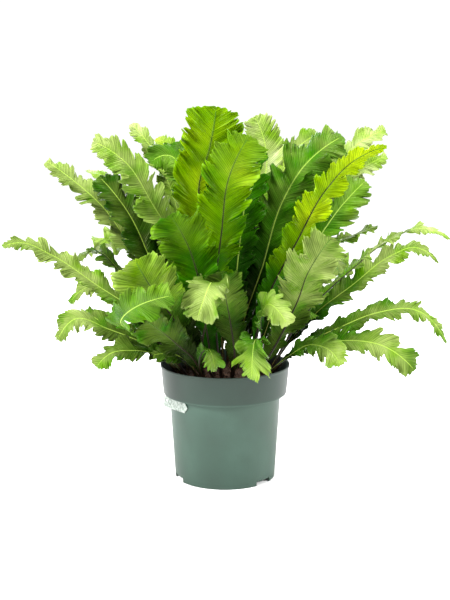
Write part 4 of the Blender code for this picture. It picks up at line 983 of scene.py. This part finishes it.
def rounded(corners, radius):
    """A line through corners, each corner but the ends replaced by a short curve that starts before it.

    The curve goes back from the corner by the square of the share that is left, and ahead by the square
    of the share that is done.
    """
    corners = np.array(corners, float)
    share = np.linspace(0.0, 1.0, CORNER_STEPS)[:, None]
    found = [corners[:1]]
    for before, corner, after in zip(corners, corners[1:], corners[2:]):
        back, ahead = np.linalg.norm(before - corner), np.linalg.norm(after - corner)
        room = min(radius, back / CORNER_ROOM, ahead / CORNER_ROOM)
        found.append(corner + (before - corner) / back * room * (1 - share) ** 2
                     + (after - corner) / ahead * room * share ** 2)
    return np.concatenate(found + [corners[-1:]])


def turned(name, profile, sides):
    """A profile of (radius, height) in millimetres turned about Z by a Screw modifier."""
    mesh = bpy.data.meshes.new(name)
    points = np.column_stack([profile[:, 0], np.zeros(len(profile)), profile[:, 1]]) * MM
    first = np.arange(len(points) - 1)
    mesh.from_pydata(points.tolist(), np.column_stack([first, first + 1]).tolist(), [])
    made = bpy.data.objects.new(name, mesh)
    bpy.context.scene.collection.objects.link(made)
    screw = made.modifiers.new("Turn", "SCREW")
    screw.steps = screw.render_steps = sides
    screw.use_merge_vertices = True
    screw.merge_threshold = WELD * MM
    return made


def cutter(kind, place, turn, size):
    """A cube or cylinder in millimetres that a Boolean takes away."""
    if kind == "cube":
        bpy.ops.mesh.primitive_cube_add(size=1.0)
    else:
        bpy.ops.mesh.primitive_cylinder_add(radius=0.5, depth=1.0, vertices=DRAIN_SIDES)
    made = bpy.context.object
    made.scale = [c * MM for c in size]
    made.rotation_euler = (0.0, 0.0, turn)
    made.location = [c * MM for c in place]
    return made


def settled(made, tools):
    """Cuts the tools from a piece, keeps the result as its mesh, smooth but for its sharp edges."""
    for tool in tools:
        taken = made.modifiers.new(tool.name, "BOOLEAN")
        taken.operation = "DIFFERENCE"
        taken.object = tool
    view = bpy.context.evaluated_depsgraph_get()
    mesh = bpy.data.meshes.new_from_object(made.evaluated_get(view))
    made.modifiers.clear()
    made.data = mesh
    for tool in tools:
        bpy.data.objects.remove(tool)
    mesh.shade_smooth()
    mesh.set_sharp_from_angle(angle=math.radians(SHARP_ANGLE))
    return made


def pot_profile():
    """Half of the pot's section, from the middle of its floor over the rim and back to the hub."""
    low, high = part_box("pot")
    rim_radius = (high[0] - low[0]) / 2 / MM
    rim = high[2] / MM
    band_top = rim_radius - BEAD_PROUD
    shelf = BAND_BOTTOM + POT_WALL
    bead = rim - BEAD_HEIGHT
    inner = [(0.0, POT_FLOOR[1]), (FOOT_RADIUS + FLOOR_TAPER - POT_WALL, POT_FLOOR[1]),
             (BODY_TOP_RADIUS - POT_WALL, shelf), (BAND_RADIUS - POT_WALL, shelf), (band_top - POT_WALL, rim)]
    outer = [(rim_radius, rim), (rim_radius, bead), (band_top - BEAD_UNDERCUT[0], bead - BEAD_UNDERCUT[1]),
             (BAND_RADIUS, BAND_BOTTOM), (BODY_TOP_RADIUS, BAND_BOTTOM), (FOOT_RADIUS, 0.0)]
    under = [(FOOT_RADIUS - POT_WALL, 0.0), (FOOT_RADIUS - POT_WALL, POT_FLOOR[0]),
             (HUB_RADIUS, POT_FLOOR[0]), (HUB_RADIUS, 0.0), (0.0, 0.0)]
    return rounded(inner + outer + under, EDGE_ROUNDING)


def pot_material():
    """Moulded polypropylene, matt: cloudy flow marks, painted shade on the band, and fine pores, with a soft
    dull sheen.

    Noise in large cells picks the grey-green and the roughness. The band's painted shade, for the
    foliage's shadow, is a short even slope of the height. Noise in fine cells darkens the colour a little
    and makes the bump.
    """
    made, shader = new_material("grey_green_polypropylene")
    point = node(made, "TexCoord", output="Object")
    cloud = node(made, "TexNoise",
                 inputs={"Vector": point, "Scale": per_metre(CLOUD_WIDTH), "Detail": 5.0})
    pores = node(made, "TexNoise",
                 inputs={"Vector": point, "Scale": per_metre(PORE_WIDTH), "Detail": 2.0})
    colour = node(made, "ValToRGB", {"stops": POT_GREYS}, {"Fac": cloud})
    height = node(made, "SeparateXYZ", inputs={"Vector": point}, output="Z")
    # Painted shade: the band is darkened toward near black, from its foot up, for the foliage's shadow.
    band = node(made, "Math", {"operation": "MULTIPLY_ADD", "use_clamp": True},
                {0: height, 1: 1 / (BAND_FADE * MM), 2: -BAND_BOTTOM / BAND_FADE})
    for mask, most, code in ((band, BAND_PAINTED_SHADE, BAND_PAINTED_SHADOW_GREY), (pores, GRAIN_SHADE, GRAIN_GREY)):
        share = node(made, "Math", {"operation": "MULTIPLY"}, {0: mask, 1: most})
        colour = node(made, "Mix", {"data_type": "RGBA"}, {0: share, 6: colour, 7: linear(code)}, 2)
    bump = node(made, "Bump", inputs={"Height": pores, "Strength": PORE_RELIEF, "Distance": PORE_DEPTH})
    rough = node(made, "Math", {"operation": "MULTIPLY_ADD"},
                 {0: cloud, 1: POT_ROUGH_SPREAD, 2: POT_ROUGH_LEAST})
    feed(made, shader, {"Base Color": colour, "Normal": bump, "Roughness": rough,
                        "Specular IOR Level": POT_GLOSS})
    return made


def make_pot():
    """The pot with its notches and drain holes cut."""
    tools = []
    for turn in NOTCH_TURNS:
        heading = math.radians(turn - 90.0)
        place = (FOOT_RADIUS * math.cos(heading), FOOT_RADIUS * math.sin(heading), 0.0)
        tools.append(cutter("cube", place, heading, NOTCH_SIZE))
    for i in range(DRAIN_HOLES):
        heading = math.tau * (i + 0.5) / DRAIN_HOLES
        place = (DRAIN_CIRCLE * math.cos(heading), DRAIN_CIRCLE * math.sin(heading), sum(POT_FLOOR) / 2)
        tools.append(cutter("cylinder", place, 0.0, (2 * DRAIN_RADIUS, 2 * DRAIN_RADIUS, DRAIN_DEPTH)))
    pot = settled(turned("nursery_pot", pot_profile(), POT_SIDES), tools)
    pot.data.materials.clear()
    pot.data.materials.append(pot_material())
    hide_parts("pot")
    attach(pot, "root")


make_pot()


# Tag
# A plant tag punched from thin white plastic sheet, with a worn pale mottle. It lies against the pot's
# side beneath the band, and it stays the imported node.
TAG_GREYS = ((0.34, "4a554e"), (0.46, "737d75"), (0.6, "8e978f"))
MOTTLE_WIDTH = 1000 / 260  # millimetres
MOTTLE_RELIEF, MOTTLE_DEPTH = 0.2, 0.0002
TAG_ROUGHNESS = 0.4


def noisy_material(name, stops, width, detail, relief, depth, finish):
    """A material whose noise, with cells of a width in millimetres, picks its colour and makes its bump."""
    made, shader = new_material(name)
    point = node(made, "TexCoord", output="Object")
    grain = node(made, "TexNoise", inputs={"Vector": point, "Scale": per_metre(width), "Detail": detail})
    colour = node(made, "ValToRGB", {"stops": stops}, {"Fac": grain})
    bump = node(made, "Bump", inputs={"Height": grain, "Strength": relief, "Distance": depth})
    feed(made, shader, {"Base Color": colour, "Normal": bump, **finish})
    return made


# Off-white polystyrene sheet, rolled satin: a soft sheen over a greyish mottle that is barely uneven.
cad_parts["tag"].material_slots[0].material = noisy_material(
    "white_tag_plastic", TAG_GREYS, MOTTLE_WIDTH, 2.0, MOTTLE_RELIEF, MOTTLE_DEPTH,
    {"Roughness": TAG_ROUGHNESS})


# Peat and crown
# Moist peat, filled in round the crown and strewn with loose crumbs, and the crown's dry brown scales,
# which grow over it and up the feet of the stems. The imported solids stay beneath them, with the same
# materials. Lengths are in centimetres.
PEAT_BROWNS, PEAT_GRAIN, PEAT_ROUGHNESS = ((0.35, "0d0805"), (0.68, "2e2016")), 1000 / 260, 0.95
SCALE_BROWNS, SCALE_GRAIN, SCALE_ROUGHNESS = ((0.35, "120a06"), (0.68, "3a2413")), 3.125, 0.8
EARTH_RELIEF, EARTH_DEPTH = 0.8, 0.003
EARTH_DETAIL = 6.0
EARTH_GLOSS = 0.2
CRUMBS = 900
CRUMB_RING = (7.75, 9.7)  # radii
CRUMB_SIZES = (0.08, 0.3)
CRUMB_RAISED = 0.2  # how far a crumb's middle lies above the peat, as a share of its size
CRUMB_CORNERS = (0.5, 1.2)
CRUMB_CROOKED = 0.2
CRUMB_HEIGHT = 0.8  # as a share of its width
PEAT_TOP = 16.45
CROWN_SCALES = 1800
CROWN_EDGE = 0.15  # scales keep so far inside the crown's edge
SCALE_SUNK = 0.1
SCALE_LEAN, SCALE_SPREAD = 0.6, 0.08
STEM_SCALES = 46
STEM_SCALED = 3.4  # how far up a stem they go
STEM_CROWDING = 1.5
STEM_SIDES = (0.22, 0.16)
STEM_LEAN = (0.1, 0.6)
SCALE_LENGTHS, SCALE_WIDTHS = (0.35, 0.95), (0.05, 0.11)
SCALE_THICKNESS = 0.4  # as a share of its width


def scattered(name, places, ways, faces, finish):
    """One piece of many small bodies: each has its points at its place plus its own ways from there."""
    count, each = len(places), ways.shape[1]
    points = (places[:, None] + ways).reshape(-1, 3)
    shifted = (np.arange(count) * each)[:, None, None] + faces[None]
    piece = mesh_object(name, points * CM, shifted.reshape(-1, 3), [finish], smooth=False)
    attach(piece, "root")


def strewn(draw, near, far, count):
    """Radii and (x, y) spots spread evenly over a ring: the root of an even draw of the radius's square,
    at an even draw of the turn."""
    radius = np.sqrt(draw.uniform(near ** 2, far ** 2, count))
    turn = draw.uniform(0.0, math.tau, count)
    return radius, np.column_stack([radius * np.cos(turn), radius * np.sin(turn)])


def make_crumbs(finish):
    """Peat crumbs: octahedra with uneven corners, half sunk in the peat, spread evenly over a ring."""
    draw = np.random.default_rng(5)
    _, spots = strewn(draw, *CRUMB_RING, CRUMBS)
    size = draw.uniform(*CRUMB_SIZES, CRUMBS)
    places = np.column_stack([spots, PEAT_TOP + size * CRUMB_RAISED])
    corners = np.array([(1, 0, 0), (0, 1, 0), (-1, 0, 0), (0, -1, 0), (0, 0, CRUMB_HEIGHT),
                        (0, 0, -CRUMB_HEIGHT)])
    ways = corners[None] * size[:, None, None] * draw.uniform(*CRUMB_CORNERS, (CRUMBS, 6, 1))
    ways = ways + draw.normal(0.0, CRUMB_CROOKED, (CRUMBS, 6, 3)) * size[:, None, None]
    faces = [(i, (i + 1) % 4, 4) for i in range(4)] + [((i + 1) % 4, i, 5) for i in range(4)]
    scattered("peat_crumbs", places, ways, np.array(faces), finish)


def scale_places(fronds):
    """Where the scales stand and which way they point: over the crown, and round the foot of each stem."""
    draw = np.random.default_rng(11)
    radius, spots = strewn(draw, 0.0, CROWN_RADIUS - CROWN_EDGE, CROWN_SCALES)
    places = [np.column_stack([spots, crown_height(radius) - SCALE_SUNK])]
    lean = draw.normal(0.0, SCALE_LEAN, (CROWN_SCALES, 2)) + spots * SCALE_SPREAD
    ways = [np.column_stack([lean, np.ones(CROWN_SCALES)])]
    for frond in fronds:
        on = draw.uniform(0.0, 1.0, STEM_SCALES) ** STEM_CROWDING
        on = SOCKET_DEPTH + (STEM_SCALED - SOCKET_DEPTH) * on
        centre, tangent, top, right = frond.along(on / frond.length)
        turn = draw.uniform(0.0, math.tau, STEM_SCALES)[:, None]
        over, up = right * np.cos(turn), top * np.sin(turn)
        places.append(centre + over * STEM_SIDES[0] + up * STEM_SIDES[1])
        ways.append(tangent + (over + up) * draw.uniform(*STEM_LEAN, STEM_SCALES)[:, None])
    return np.concatenate(places), unit(np.concatenate(ways))


def make_scales(fronds, finish):
    """Papery scales: flat three-sided spikes, broad at the foot."""
    draw = np.random.default_rng(13)
    places, ways = scale_places(fronds)
    count = len(places)
    length = draw.uniform(*SCALE_LENGTHS, (count, 1))
    width = draw.uniform(*SCALE_WIDTHS, (count, 1))
    side = unit(np.cross(ways, draw.normal(size=(count, 3))))
    flat = np.cross(side, ways)
    corners = np.stack([side * width, -side * width, flat * width * SCALE_THICKNESS, ways * length], axis=1)
    faces = np.array([(0, 1, 2), (1, 0, 3), (2, 1, 3), (0, 2, 3)])
    scattered("crown_scales", places, corners, faces, finish)


# Sphagnum peat, milled and wetted: near black, and so rough that it has no sheen. The crown's scales are
# dead papery leaf tissue: browner, with a faint dry sheen.
peat, dry_scale = (
    noisy_material(name, stops, width, EARTH_DETAIL, EARTH_RELIEF, EARTH_DEPTH,
                   {"Roughness": roughness, "Specular IOR Level": EARTH_GLOSS})
    for name, stops, width, roughness in (("moist_peat", PEAT_BROWNS, PEAT_GRAIN, PEAT_ROUGHNESS),
                                          ("crown_scales", SCALE_BROWNS, SCALE_GRAIN, SCALE_ROUGHNESS)))
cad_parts["soil"].material_slots[0].material = peat
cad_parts["rootstock"].material_slots[0].material = dry_scale
make_crumbs(peat)
make_scales(all_fronds, dry_scale)
